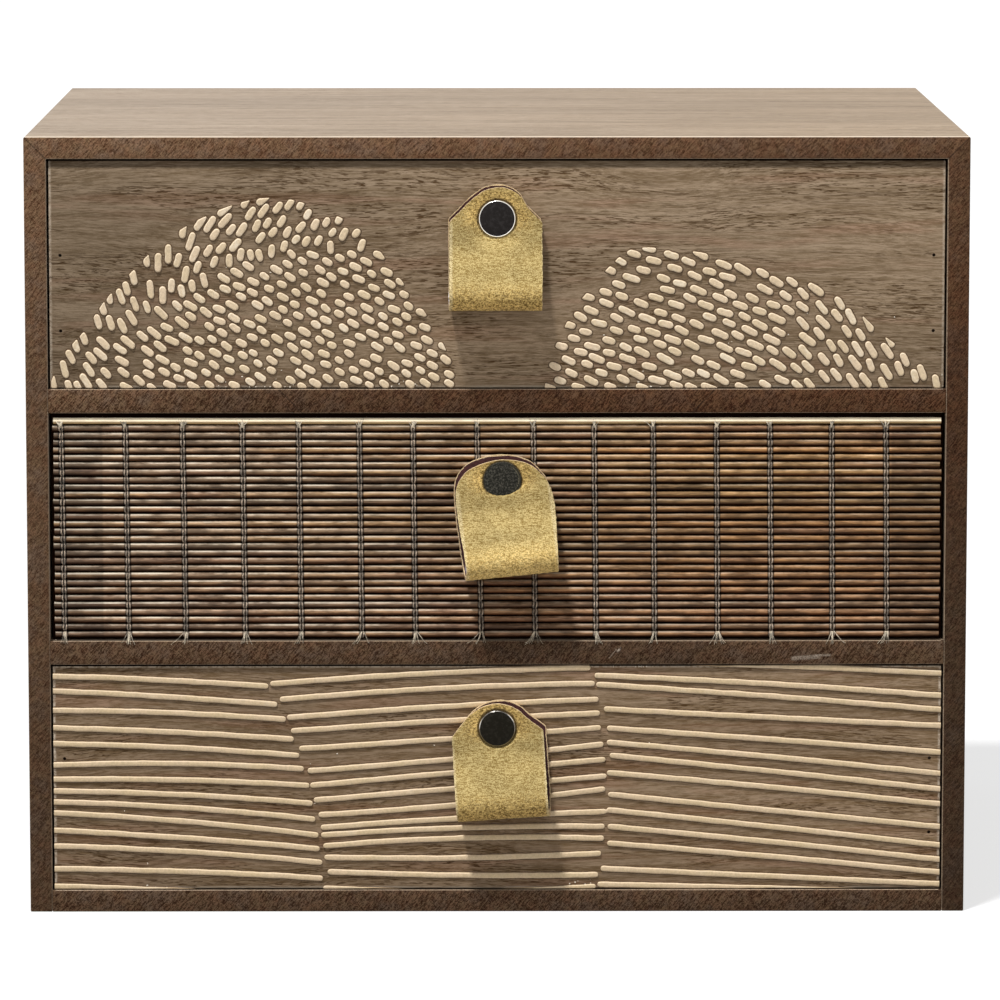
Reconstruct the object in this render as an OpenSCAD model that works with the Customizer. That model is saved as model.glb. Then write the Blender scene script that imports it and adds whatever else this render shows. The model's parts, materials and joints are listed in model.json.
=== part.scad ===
// Desktop chest of three small drawers: a thin board case, three open-topped drawers, and on each
// drawer front a raised decoration and a folded strap that serves as its pull.
// Origin: middle of the underside. +X right, +Y to the back, +Z up, millimetres.

/* [Case] */
// Width across the sides
case_w = 255; // [235:1:290]
// Depth from the front edges to the back
case_d = 205; // [170:1:240]
// Height from the table to the top
case_h = 212; // [206:1:220]
// Thickness of the top, bottom and sides
board_t = 6; // [5:0.5:7]
// Thickness of the two shelves
shelf_t = 6.5; // [5.5:0.5:7]
// Thickness of the back panel and the drawer bottoms
panel_t = 3; // [2:0.5:3.5]

/* [Drawers] */
// Gap on each side of a drawer
side_gap = 0.6; // [0.4:0.1:1]
// Gap above a drawer
top_gap = 0.45; // [0.35:0.05:0.8]
// Gap under a drawer
under_gap = 0.25; // [0.2:0.05:0.4]
// How far the drawer fronts lie behind the case's front edges
recess = 0.9; // [0.7:0.1:2]
// Depth of the grooves that hold the drawer bottoms
groove_d = 2.5; // [2:0.5:3]
// Height of a drawer bottom above the drawer's lower edge
bottom_lift = 4; // [3:0.5:8]

/* [Pulls] */
// Width of a strap
strap_w = 25; // [20:1:30]
// Thickness of the strap leather
strap_t = 1.2; // [1:0.1:1.4]
// From the stud's centre down to the fold
strap_drop = 25; // [22:1:27]
// How much lower the middle strap hangs on its stud than the other two
middle_sag = 0.8; // [0:0.1:1.2]
// Middle radius of the fold at the bottom of a strap
fold_r = 4; // [3.5:0.25:4.5]
// Diameter of the stud's head
stud_head_d = 10; // [8:0.1:11]
// Diameter of the stud's post
stud_post_d = 3.8; // [3:0.1:4.5]
// Turn of the middle strap from hanging straight, to the right at its fold
middle_turn = 7; // [0:1:12]
// Turn of the bottom strap from hanging straight, to the right at its fold
bottom_turn = 3.5; // [0:0.5:12]

/* [Decoration] */
// Height of the raised dashes and lines
relief_h = 0.35; // [0.2:0.05:0.7]
// Width of a raised dash
dash_w = 1.7; // [1.4:0.05:1.9]
// Width of a raised line
line_w = 1.4; // [1.2:0.1:2]
// Diameter of the sticks in the mat
stick_d = 1.9; // [1.6:0.1:1.95]
// Number of sticks in the mat
stick_count = 30; // [26:1:30]

/* [Hidden] */
$fn = 64;

// Colours
CASE_BROWN = "#5d4636";
FRONT_BROWN = "#8b7762";
INNER_BROWN = "#7a624d";
CREAM = "#d8c3a0";
STICK_BROWN = "#8d7657";
THREAD_GREY = "#b3a48c";
MUSTARD = "#c0a155";
STUD_BLACK = "#1e1e20";
STEEL = "#8d8f92";

// Tiers, from the bottom up
BOTTOM = 0;
MIDDLE = 1;
TOP = 2;
TIERS = [BOTTOM, MIDDLE, TOP];
LEFT = -1;
RIGHT = 1;

// The case's inside
front_edge_y = -case_d / 2;
rear_y = case_d / 2;
inner_rear_y = rear_y - panel_t;
inner_w = case_w - 2 * board_t;
bay_h = (case_h - 2 * board_t - 2 * shelf_t) / len(TIERS);
rebate_w = board_t / 2;
function bay_floor(tier) = board_t + tier * (bay_h + shelf_t);

// The drawers
drawer_w = inner_w - 2 * side_gap;
drawer_h = bay_h - top_gap - under_gap;
rear_gap = 0.4;
drawer_rear_y = inner_rear_y - rear_gap;
box_w = drawer_w - 2 * board_t;
groove_slack = 0.2;
stud_below_bay = [17.2, 18.1, 15.9];
stud_offset = [0, 1.4, 0];
strap_turn = [bottom_turn, middle_turn, 0];
strap_sag = [0, middle_sag, 0];
thread_proud = 0.4;
mat_t = stick_d + thread_proud;
decoration_t = [relief_h, mat_t, relief_h];
function drawer_floor(tier) = bay_floor(tier) + under_gap;
function face_y(tier) = front_edge_y + recess + (tier == MIDDLE ? stick_d : 0);
function stud_x(tier) = stud_offset[tier];
function stud_z(tier) = bay_floor(tier) + bay_h - stud_below_bay[tier];

// The pulls: depths are measured out from the drawer front
strap_gap = 0.15;
layer_gap = 0.1;
strap_hole_d = stud_post_d + 0.4;
stud_head_t = 1.3;
stud_rim = 0.3;
stud_cap_d = 10;
stud_cap_t = 1.6;
fold_lean = 25;
clamp_drop = 5.5;
curve_pull = 5;
strap_reach = 10;
// Upper end of each strap, from its right shoulder over the top to its left one:
// [share of half the strap's width, height]
strap_ends = [
    [
        [1, -1.4], [0.67, 2.1], [0.49, 4.4], [0.26, 6], [0, 6.6], [-0.26, 6.1], [-0.5, 4.6],
        [-0.7, 2.4], [-1, -2]
    ],
    [
        [1.05, -13], [1.06, -7], [1.01, -2.5], [0.89, 0.6], [0.66, 4.1], [0.38, 5.9], [0.05, 6.8],
        [-0.28, 6.5], [-0.55, 5.6], [-0.75, 4.4], [-0.92, 2.2], [-1.02, -0.3], [-1.06, -4], [-1.04, -12]
    ],
    [
        [1, -1], [0.72, 2.4], [0.53, 6], [0.26, 8], [0, 8.3], [-0.24, 7.5], [-0.4, 6.2],
        [-0.59, 4.2], [-1, -1]
    ]
];
end_steps = 4;
arc_steps = 14;
curve_steps = 10;
function strap_base(tier) = decoration_t[tier] + strap_gap;
function head_base(tier) = strap_base(tier) + 2 * strap_t + 2 * layer_gap;

// Brads, the thin nails of the case and the drawers
brad_d = 0.9;
brad_l = 18;
brad_sink = 0.6;
back_brad_l = 12;
brad_rows = [15.5, 36];
shelf_brad_places = [0.12, 0.5, 0.88];
back_brad_places = [-0.4, 0, 0.4];

// Small overshoot that carries a cut past a face
over = 1;

// A repeatable number from 0 to 1 for a place in a row
function scatter(index, row) = let (v = sin(index * 127.1 + row * 311.7) * 43758.5453) v - floor(v);
function between(low, high, share) = low + (high - low) * share;
function ramp(value, low, high) =
    let (u = max(0, min(1, (value - low) / (high - low)))) u * u * (3 - 2 * u);

// ---- Case ----

module block(size, corner) {
    translate(corner) cube(size);
}

// Top board, its ends cut at 45 degrees to meet the sides
module case_top() {
    outline = [
        [-case_w / 2, case_h], [case_w / 2, case_h],
        [case_w / 2 - board_t, case_h - board_t], [-case_w / 2 + board_t, case_h - board_t]
    ];
    color(CASE_BROWN)
    difference() {
        translate([0, rear_y, 0]) rotate([90, 0, 0]) linear_extrude(case_d) polygon(outline);
        block([case_w - 2 * rebate_w, panel_t + over, rebate_w + over],
            [-case_w / 2 + rebate_w, inner_rear_y, case_h - board_t - over]);
    }
}

module case_bottom() {
    color(CASE_BROWN)
    difference() {
        block([inner_w, case_d, board_t], [-inner_w / 2, front_edge_y, 0]);
        block([inner_w + 2 * over, panel_t + over, rebate_w + over],
            [-inner_w / 2 - over, inner_rear_y, board_t - rebate_w]);
        side_brad_holes(board_t / 2);
    }
}

// Side board of the case: mitred at the top, square at the bottom
module case_side(side) {
    outline = [
        [side * case_w / 2, 0], [side * case_w / 2, case_h],
        [side * (case_w / 2 - board_t), case_h - board_t], [side * (case_w / 2 - board_t), 0]
    ];
    rebate_x = side == LEFT ? -inner_w / 2 - rebate_w : inner_w / 2 - over;
    color(CASE_BROWN)
    difference() {
        translate([0, rear_y, 0]) rotate([90, 0, 0]) linear_extrude(case_d) polygon(outline);
        block([rebate_w + over, panel_t + over, case_h - board_t],
            [rebate_x, inner_rear_y, board_t - rebate_w]);
        for (z = shelf_brad_heights) side_brad_holes(z);
    }
}

module shelf(tier) {
    color(CASE_BROWN)
    difference() {
        block([inner_w, inner_rear_y - front_edge_y, shelf_t],
            [-inner_w / 2, front_edge_y, bay_floor(tier) - shelf_t]);
        side_brad_holes(bay_floor(tier) - shelf_t / 2);
        translate([0, inner_rear_y + over, bay_floor(tier) - shelf_t / 2]) back_brad_row(back_brad_l + over);
    }
}

// Brads through the sides into the ends of the bottom and the shelves
shelf_brad_heights = [board_t / 2, bay_floor(MIDDLE) - shelf_t / 2, bay_floor(TOP) - shelf_t / 2];

module side_brads(z, length, start) {
    for (side = [LEFT, RIGHT], place = shelf_brad_places)
        translate([side * (case_w / 2 - start), front_edge_y + place * case_d, z])
            rotate([0, -side * 90, 0]) cylinder(d = brad_d, h = length);
}

module side_brad_holes(z) {
    side_brads(z, brad_l + brad_sink + over, -over);
}

module case_brads() {
    color(STEEL)
    for (z = shelf_brad_heights) side_brads(z, brad_l, brad_sink);
}

// Brads through the back panel into the shelves' rear edges
module back_brad_row(length) {
    for (place = back_brad_places)
        translate([place * inner_w, 0, 0]) rotate([90, 0, 0]) cylinder(d = brad_d, h = length);
}

module back_panel() {
    color(INNER_BROWN)
    difference() {
        block([inner_w + 2 * rebate_w, panel_t, case_h - 2 * board_t + 2 * rebate_w],
            [-inner_w / 2 - rebate_w, inner_rear_y, board_t - rebate_w]);
        for (tier = [MIDDLE, TOP])
            translate([0, rear_y + over, bay_floor(tier) - shelf_t / 2]) back_brad_row(panel_t + 2 * over);
    }
}

module back_brads() {
    color(STEEL)
    for (tier = [MIDDLE, TOP])
        translate([0, rear_y - brad_sink, bay_floor(tier) - shelf_t / 2])
            back_brad_row(back_brad_l + panel_t - brad_sink);
}

// ---- Drawers ----

// Slot that takes the edge of a drawer bottom, cut in every board round it
module bottom_groove(tier) {
    block([box_w + 2 * groove_d, drawer_rear_y - face_y(tier) - 2 * board_t + 2 * groove_d, panel_t],
        [-box_w / 2 - groove_d, face_y(tier) + board_t - groove_d, drawer_floor(tier) + bottom_lift]);
}

// Brads through the front into the sides, and through the sides into the back
module front_brads(tier, length, start) {
    for (side = [LEFT, RIGHT], row = brad_rows)
        translate([side * (drawer_w - board_t) / 2, face_y(tier) + start, drawer_floor(tier) + row])
            rotate([-90, 0, 0]) cylinder(d = brad_d, h = length);
}

module rear_brads(tier, length, start) {
    for (side = [LEFT, RIGHT], row = brad_rows)
        translate([side * (drawer_w / 2 - start), drawer_rear_y - board_t / 2, drawer_floor(tier) + row])
            rotate([0, -side * 90, 0]) cylinder(d = brad_d, h = length);
}

module drawer_brads(tier) {
    color(STEEL) {
        front_brads(tier, brad_l, brad_sink);
        rear_brads(tier, brad_l, brad_sink);
    }
}

module drawer_brad_holes(tier) {
    front_brads(tier, brad_l + brad_sink + over, -over);
    rear_brads(tier, brad_l + brad_sink + over, -over);
}

module drawer_front(tier) {
    color(FRONT_BROWN)
    difference() {
        block([drawer_w, board_t, drawer_h], [-drawer_w / 2, face_y(tier), drawer_floor(tier)]);
        bottom_groove(tier);
        drawer_brad_holes(tier);
        translate([stud_x(tier), face_y(tier) - over, stud_z(tier)])
            rotate([-90, 0, 0]) cylinder(d = stud_post_d, h = board_t + 2 * over);
    }
}

module drawer_side(tier, side) {
    left_x = side == LEFT ? -drawer_w / 2 : drawer_w / 2 - board_t;
    start_y = face_y(tier) + board_t;
    color(INNER_BROWN)
    difference() {
        block([board_t, drawer_rear_y - start_y, drawer_h], [left_x, start_y, drawer_floor(tier)]);
        bottom_groove(tier);
        drawer_brad_holes(tier);
    }
}

module drawer_back(tier) {
    color(INNER_BROWN)
    difference() {
        block([box_w, board_t, drawer_h], [-box_w / 2, drawer_rear_y - board_t, drawer_floor(tier)]);
        bottom_groove(tier);
        drawer_brad_holes(tier);
    }
}

module drawer_bottom(tier) {
    edge = groove_d - groove_slack;
    color(INNER_BROWN)
    block([box_w + 2 * edge, drawer_rear_y - face_y(tier) - 2 * board_t + 2 * edge, panel_t],
        [-box_w / 2 - edge, face_y(tier) + board_t - edge, drawer_floor(tier) + bottom_lift]);
}

// ---- Pulls ----

// Puts a shape drawn round the stud's axis, with +Z out of the drawer front, in its place
module at_stud(tier) {
    translate([stud_x(tier), face_y(tier), stud_z(tier)]) rotate([90, 0, 0]) children();
}

module pull_stud(tier) {
    head_z = head_base(tier);
    tail_z = -board_t - stud_cap_t;
    head_r = stud_head_d / 2;
    post_r = stud_post_d / 2;
    outline = [
        [0, tail_z], [post_r, tail_z], [post_r, head_z], [head_r - stud_rim, head_z],
        [head_r, head_z + stud_rim], [head_r, head_z + stud_head_t - stud_rim],
        [head_r - stud_rim, head_z + stud_head_t], [0, head_z + stud_head_t]
    ];
    color(STUD_BLACK) at_stud(tier) rotate_extrude() polygon(outline);
}

module stud_cap(tier) {
    color(STEEL)
    at_stud(tier)
    translate([0, 0, -board_t - stud_cap_t])
    difference() {
        cylinder(d = stud_cap_d, h = stud_cap_t);
        translate([0, 0, -over]) cylinder(d = stud_post_d, h = stud_cap_t + 2 * over);
    }
}

// Middle line of the strap from its rear end, round the fold, to its front end: [out, up]
rear_mid = strap_t / 2;
front_mid = 1.5 * strap_t + layer_gap;
fold_centre = [rear_mid + fold_r, -strap_drop + fold_r + strap_t / 2];
fold_points = [
    for (i = [0 : arc_steps])
        let (angle = between(180, 360 + fold_lean, i / arc_steps))
            fold_centre + fold_r * [cos(angle), sin(angle)]
];
curve_start = fold_points[arc_steps];
curve_end = [front_mid, -clamp_drop];
curve_handles = [
    curve_start, curve_start + curve_pull * [-sin(fold_lean), cos(fold_lean)],
    curve_end - curve_pull * [0, 1], curve_end
];
function bezier(p, t) =
    pow(1 - t, 3) * p[0] + 3 * t * pow(1 - t, 2) * p[1] + 3 * t * t * (1 - t) * p[2] + pow(t, 3) * p[3];
strap_path = [
    [rear_mid, strap_reach],
    each fold_points,
    for (i = [1 : curve_steps]) bezier(curve_handles, i / curve_steps),
    [front_mid, strap_reach]
];

// Unit normal of the path at one of its points
function path_normal(path, i) =
    let (
        step = path[min(i + 1, len(path) - 1)] - path[max(i - 1, 0)],
        size = norm(step)
    ) [-step[1], step[0]] / size;
function path_side(path, distance) = [
    for (i = [0 : len(path) - 1]) path[i] + distance * path_normal(path, i)
];
function reversed(list) = [for (i = [len(list) - 1 : -1 : 0]) list[i]];
strap_profile = concat(path_side(strap_path, strap_t / 2), reversed(path_side(strap_path, -strap_t / 2)));

// Front view of a strap: straight sides, and above the shoulders an end cut round by hand
function strap_outline(tier) = [
    [-strap_w / 2, -strap_drop - over], [strap_w / 2, -strap_drop - over],
    for (p = smooth_curve(strap_ends[tier], end_steps)) [p[0] * strap_w / 2, p[1]]
];

module pull_strap(tier) {
    reach = 2 * fold_r + 2 * strap_t;
    side_view = [for (p = strap_profile) [p[1], p[0]]];
    color(MUSTARD)
    at_stud(tier)
    rotate([0, 0, strap_turn[tier]])
    translate([0, -strap_sag[tier], strap_base(tier)])
    difference() {
        intersection() {
            translate([-strap_w, 0, 0])
                rotate([90, 0, 90]) linear_extrude(2 * strap_w) polygon(side_view);
            translate([0, 0, -over]) linear_extrude(reach + 2 * over) polygon(strap_outline(tier));
        }
        translate([0, strap_sag[tier], -over]) cylinder(d = strap_hole_d, h = reach);
    }
}

// ---- Raised decoration ----

// Hole in a decoration for the stud's post
module stud_clearance(tier) {
    at_stud(tier) translate([0, 0, -over]) cylinder(d = strap_hole_d, h = mat_t + 2 * over);
}

// Places the flat drawing of a drawer front on it: x from the middle, y up from its lower edge
module on_front(tier, height) {
    translate([0, face_y(tier), drawer_floor(tier)]) rotate([90, 0, 0]) linear_extrude(height) children();
}

// Point on a smooth curve through the points p, between p[k] and p[k + 1]
function curve_point(p, k, t) =
    let (
        n = len(p) - 1,
        a = p[max(k - 1, 0)],
        b = p[k],
        c = p[min(k + 1, n)],
        d = p[min(k + 2, n)]
    ) 0.5 * (2 * b + (c - a) * t + (2 * a - 5 * b + 4 * c - d) * t * t + (3 * b - a - 3 * c + d) * t * t * t);
function smooth_curve(p, steps) = [
    for (k = [0 : len(p) - 2], i = [0 : steps - 1]) curve_point(p, k, i / steps),
    p[len(p) - 1]
];

// True where a point is inside a closed outline
function inside(point, outline) =
    let (
        n = len(outline),
        crossings = [
            for (i = [0 : n - 1])
                let (a = outline[i], b = outline[(i + 1) % n])
                    if ((a[1] > point[1]) != (b[1] > point[1])
                        && point[0] < a[0] + (point[1] - a[1]) * (b[0] - a[0]) / (b[1] - a[1])) 1
        ]
    ) len(crossings) % 2 == 1;

// A dash is [x, y, angle, length]. Its core is the line that its round ends are centred on
function core_point(dash, share) =
    [dash[0], dash[1]] + share * (dash[3] - dash_w) / 2 * [cos(dash[2]), sin(dash[2])];
dash_gap = 0.35;
function far_apart(a, b) = norm([a[0] - b[0], a[1] - b[1]]) > (a[3] + b[3]) / 2 + dash_gap;
function core_distance(a, b) =
    min([for (s = [-1, 0, 1], t = [-1, 0, 1]) norm(core_point(a, s) - core_point(b, t))]);
function clear_of(a, b) = far_apart(a, b) || core_distance(a, b) > dash_w + dash_gap;
function clear_of_all(dash, kept) = len([for (other = kept) if (!clear_of(dash, other)) 1]) == 0;
function placed(wanted, kept, i = 0) =
    i == len(wanted) ? kept
    : placed(wanted, clear_of_all(wanted[i], kept) ? concat(kept, [wanted[i]]) : kept, i + 1);

// Rows of dashes along one direction, kept where the pattern's own direction is near it. Rows of
// neighbouring directions, row_step degrees apart, overlap a little where one takes over
row_step = 18;
row_overlap = 0.85;
rows_half = 26;
row_shift = 0.2;
row_waver = 0.12;
dash_sway = 9;
length_spread = 0.17;
function rows_of_dashes(middle, direction, field, pitch, length_at, outline) = [
    for (row = [-rows_half : rows_half], column = [-rows_half : rows_half])
        let (
            seed = row * 2 * rows_half + column,
            along = (column + (row % 2) / 2 + between(-row_shift, row_shift, scatter(seed, 1))) * pitch[0],
            across = (row + between(-row_waver, row_waver, scatter(seed, 2))) * pitch[1],
            point = middle + along * [cos(direction), sin(direction)]
                + across * [-sin(direction), cos(direction)],
            own = field(point),
            sway = between(-dash_sway, dash_sway, scatter(seed, 3)),
            size = length_at(point) * between(1 - length_spread, 1 + length_spread, scatter(seed, 4))
        )
            if (abs(own - direction) <= row_step * row_overlap && inside(point, outline))
                [point[0], point[1], (own + direction) / 2 + sway, size]
];

// Short dashes tried all over the outline, to fill what the rows leave bare. The two steps spread
// the tries evenly over the area
fill_tries = 1500;
fill_step = [0.7548776662, 0.5698402910];
function short_dashes(low, high, field, length_at, outline) = [
    for (i = [1 : fill_tries])
        let (
            point = [
                between(low[0], high[0], i * fill_step[0] - floor(i * fill_step[0])),
                between(low[1], high[1], i * fill_step[1] - floor(i * fill_step[1]))
            ]
        )
            if (inside(point, outline))
                [point[0], point[1], field(point), (1 - length_spread) * length_at(point)]
];

module flat_dash(dash) {
    end_steps = 4;
    core = (dash[3] - dash_w) / 2;
    ends = [
        for (end = [0, 1], i = [0 : end_steps])
            let (angle = -90 + 180 * end + 180 * i / end_steps)
                [core * (end == 0 ? 1 : -1), 0] + dash_w / 2 * [cos(angle), sin(angle)]
    ];
    translate([dash[0], dash[1]]) rotate(dash[2]) polygon(ends);
}

// A mound filled with dashes. Those that cross its outline are cut off there. The margin keeps the
// dashes that are left whole just inside it
whole_margin = 1.2;
module dash_mound(ridge, field, directions, pitch, length_at) {
    outline = concat(smooth_curve(ridge, 4), [[ridge[len(ridge) - 1][0], 0], [ridge[0][0], 0]]);
    low = [ridge[0][0], 0];
    high = [ridge[len(ridge) - 1][0], max([for (p = ridge) p[1]])];
    middle = (low + high) / 2;
    wanted = [
        for (direction = directions)
            each rows_of_dashes(middle, direction, field, pitch, length_at, outline),
        each short_dashes(low, high, field, length_at, outline)
    ];
    dashes = placed(wanted, []);
    reach = whole_margin * dash_w / 2;
    function whole(dash) = len([
        for (share = [-1, 0, 1], angle = [0 : 45 : 315])
            if (!inside(core_point(dash, share) + reach * [cos(angle), sin(angle)], outline)) 1
    ]) == 0;
    on_front(TOP, relief_h) for (dash = dashes) if (whole(dash)) flat_dash(dash);
    intersection() {
        on_front(TOP, relief_h) for (dash = dashes) if (!whole(dash)) flat_dash(dash);
        on_front(TOP, relief_h) polygon(outline);
    }
}

// The dashes lie along the slopes of the mound and turn over its crest
module left_dash_relief() {
    ridge = [
        [-120.5, 2], [-117, 9.3], [-111, 16], [-106, 23.5], [-100, 30], [-92, 38], [-83.5, 44], [-70, 50],
        [-58, 51.4], [-46, 47.8], [-36, 42.3], [-28, 32], [-18.5, 19], [-13, 8.5], [-10.5, 0]
    ];
    // Above turned(x) the dashes have turned, and they begin to turn turn_over(x) lower
    turned = function (x) 40 - 0.55 * max(0, -70 - x);
    turn_over = function (x) 4 + 0.25 * max(0, -50 - x);
    field = function (p)
        -28 - max(
            62 * exp(-(p[0] + 120) / 12),
            between(45, 102, ramp(p[0], -105, -70))
                * ramp(p[1], turned(p[0]) - turn_over(p[0]), turned(p[0]))
        );
    length_at = function (p) between(4.6, 3.3, ramp(p[0] - 0.8 * p[1], -125, -75));
    color(CREAM) dash_mound(ridge, field, [for (k = [0 : 6]) -28 - k * row_step], [4.7, 2.75], length_at);
}

// The dashes run down to the right, more steeply towards the mound's far end
module right_dash_relief() {
    ridge = [
        [12.8, 0], [14.6, 8.5], [19, 18], [24, 25.5], [30, 32.5], [36, 37.5], [44, 37.9], [56, 36.5],
        [67, 33.5], [78, 30.3], [87, 27.5], [96, 22], [104, 14.5], [112, 9], [120.5, 2]
    ];
    field = function (p)
        -19 - 11 * ramp(p[0], 40, 75) - 34 * ramp(p[0], 72, 98) - 22 * ramp(p[0], 106, 120);
    length_at = function (p) between(3.9, 4.6, ramp(p[0], 15, 45));
    color(CREAM) dash_mound(ridge, field, [for (k = [0 : 4]) -20 - k * row_step], [5.5, 3], length_at);
}

// The lines on the bottom drawer, band by band and the top line first: their heights at the left end
// and at the right end, and how far their middles rise above a straight line
left_band = [
    [58.8, 54.8, 49.4, 44.6, 40.2, 34.2, 30.3, 27.1, 24.1, 21.1, 16.3, 11.9, 5.6, 0.8],
    [56, 51, 46.9, 41.4, 36.9, 33.2, 28.6, 23.7, 19.3, 14.9, 11.1, 7.3, 2.9, -2.5],
    [0.4, 0.3, 0.6, 0.4, 0.6, 1, 0.7, 0.7, 0.8, 0.7, 0.4, 0.7, 0.5, 0.3]
];
centre_band = [
    [56.7, 52.4, 47.4, 43.7, 38.8, 32.7, 28.7, 24.6, 20.5, 17, 14.9, 11.9, 8.7, 4.7, 0.2],
    [61, 56.7, 52.3, 48.5, 44.5, 39.9, 35.7, 31.1, 27.5, 21.3, 17.2, 13.9, 9.7, 3.8, 0.5],
    [0.7, 0.8, 0.5, 0.3, -0.2, -0.4, 0, 0, -0.7, 0.4, 0.8, 1.1, -0.7, -0.6, -1.2]
];
right_band = [
    [63, 58.9, 56.4, 49.6, 44.3, 40.4, 36.8, 32, 26, 21.7, 17.1, 12.5, 5.5, 1.1],
    [59.4, 53.2, 49.3, 44.9, 37.5, 31.6, 27.3, 23.2, 16.9, 11.8, 7.8, 4.3, 1.1, -1.5],
    [0.4, 0.5, 0.3, 0, 0.2, 0.3, 0.2, 0.3, 0, 0.2, 0.3, 0.3, 0, 0.2]
];
// How far the lines' ends stray from a seam
ragged = 1.4;
// Where one band ends and the next begins, at a height above the drawer's lower edge
function left_seam(z) = -46.9 - 0.0046 * pow(z, 2);
function right_seam(z) = 30.5 - 0.0037 * pow(z - 27, 2);
function stray(i, row) = ragged * (scatter(i, row) - 0.5);

// Half circle round an end of a line, from one of its sides to the other
function round_tip(tip, normal, steps) = [
    for (i = [1 : steps - 1])
        let (angle = atan2(normal[1], normal[0]) - 180 * i / steps)
            tip + line_w / 2 * [cos(angle), sin(angle)]
];

module raised_line(start, end, rise) {
    steps = 8;
    tip_steps = 4;
    path = [
        for (i = [0 : steps])
            let (share = i / steps) start + (end - start) * share + [0, 4 * rise * share * (1 - share)]
    ];
    polygon(concat(
        path_side(path, line_w / 2), round_tip(end, path_normal(path, steps), tip_steps),
        reversed(path_side(path, -line_w / 2)), round_tip(start, -path_normal(path, 0), tip_steps)
    ));
}

module line_relief() {
    color(CREAM)
    difference() {
        intersection() {
            on_front(BOTTOM, relief_h) all_lines(drawer_w / 2 + over);
            on_front(BOTTOM, relief_h) translate([-drawer_w / 2, 0]) square([drawer_w, drawer_h]);
        }
        stud_clearance(BOTTOM);
    }
}

// The three bands, each line running from one seam to the next or past the drawer's edge
module all_lines(edge) {
    for (i = [0 : len(left_band[0]) - 1]) {
        z = left_band[1][i];
        tip = left_seam(z) - line_w - stray(i, 5) / 2;
        raised_line([-edge, left_band[0][i]], [tip, z], left_band[2][i]);
    }
    for (i = [0 : len(centre_band[0]) - 1]) {
        start = [left_seam(centre_band[0][i]) + line_w / 2 + stray(i, 8), centre_band[0][i]];
        tip = right_seam(centre_band[1][i]) - line_w - stray(i, 6) / 2;
        raised_line(start, [tip, centre_band[1][i]], centre_band[2][i]);
    }
    for (i = [0 : len(right_band[0]) - 1]) {
        z = right_band[0][i];
        tip = right_seam(z) + line_w / 2 + stray(i, 7);
        raised_line([tip, z], [edge, right_band[1][i]], right_band[2][i]);
    }
}

// ---- Stick mat of the middle drawer ----

mat_inset = 0.4;
mat_w = drawer_w - 2 * mat_inset;
mat_top_inset = 0.8;
stick_pitch = (drawer_h - mat_inset - mat_top_inset) / stick_count;
thread_d = 0.38;
thread_spread = 0.3;
thread_inset = 0.3;
// Places of the thread columns across the drawer, as shares of its width from its middle
thread_places = [
    -0.486, -0.414, -0.35, -0.283, -0.22, -0.152, -0.092, -0.023, 0.039, 0.111, 0.177, 0.248, 0.308,
    0.377, 0.438
];
function stick_z(i) = drawer_floor(MIDDLE) + mat_inset + (i + 0.5) * stick_pitch;

module mat_sticks() {
    color(STICK_BROWN)
    difference() {
        for (i = [0 : stick_count - 1])
            translate([-mat_w / 2, face_y(MIDDLE) - stick_d / 2, stick_z(i)])
                rotate([0, 90, 0]) cylinder(d = stick_d, h = mat_w);
        stud_clearance(MIDDLE);
    }
}

module mat_threads() {
    thread_out = stick_d + thread_proud - thread_d / 2;
    color(THREAD_GREY)
    for (place = thread_places, side = [LEFT, RIGHT])
        translate([
            place * drawer_w + side * thread_spread, face_y(MIDDLE) - thread_out,
            drawer_floor(MIDDLE) + thread_inset
        ])
            cylinder(d = thread_d, h = drawer_h - 2 * thread_inset);
}

case_top();
case_bottom();
case_side(LEFT);  // case_left_side
case_side(RIGHT);  // case_right_side
shelf(TOP);  // upper_shelf
shelf(MIDDLE);  // lower_shelf
back_panel();
case_brads();
back_brads();
drawer_front(TOP);  // top_drawer_front
drawer_side(TOP, LEFT);  // top_drawer_left_side
drawer_side(TOP, RIGHT);  // top_drawer_right_side
drawer_back(TOP);  // top_drawer_back
drawer_bottom(TOP);  // top_drawer_bottom
drawer_brads(TOP);  // top_drawer_brads
pull_stud(TOP);  // top_pull_stud
stud_cap(TOP);  // top_stud_cap
pull_strap(TOP);  // top_pull_strap
left_dash_relief();
right_dash_relief();
drawer_front(MIDDLE);  // middle_drawer_front
drawer_side(MIDDLE, LEFT);  // middle_drawer_left_side
drawer_side(MIDDLE, RIGHT);  // middle_drawer_right_side
drawer_back(MIDDLE);  // middle_drawer_back
drawer_bottom(MIDDLE);  // middle_drawer_bottom
drawer_brads(MIDDLE);  // middle_drawer_brads
pull_stud(MIDDLE);  // middle_pull_stud
stud_cap(MIDDLE);  // middle_stud_cap
pull_strap(MIDDLE);  // middle_pull_strap
mat_sticks();
mat_threads();
drawer_front(BOTTOM);  // bottom_drawer_front
drawer_side(BOTTOM, LEFT);  // bottom_drawer_left_side
drawer_side(BOTTOM, RIGHT);  // bottom_drawer_right_side
drawer_back(BOTTOM);  // bottom_drawer_back
drawer_bottom(BOTTOM);  // bottom_drawer_bottom
drawer_brads(BOTTOM);  // bottom_drawer_brads
pull_stud(BOTTOM);  // bottom_pull_stud
stud_cap(BOTTOM);  // bottom_stud_cap
pull_strap(BOTTOM);  // bottom_pull_strap
line_relief();
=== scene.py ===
"""Looks of the desktop mini drawers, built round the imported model.

Lengths are millimetres in this script and turned into metres where a mesh is made. The frame is the
model's own: +X right, +Y to the back, +Z up, with the origin in the middle of the underside.
"""

import json
import math

import bmesh
import bpy
import numpy as np
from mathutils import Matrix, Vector, noise

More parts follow.
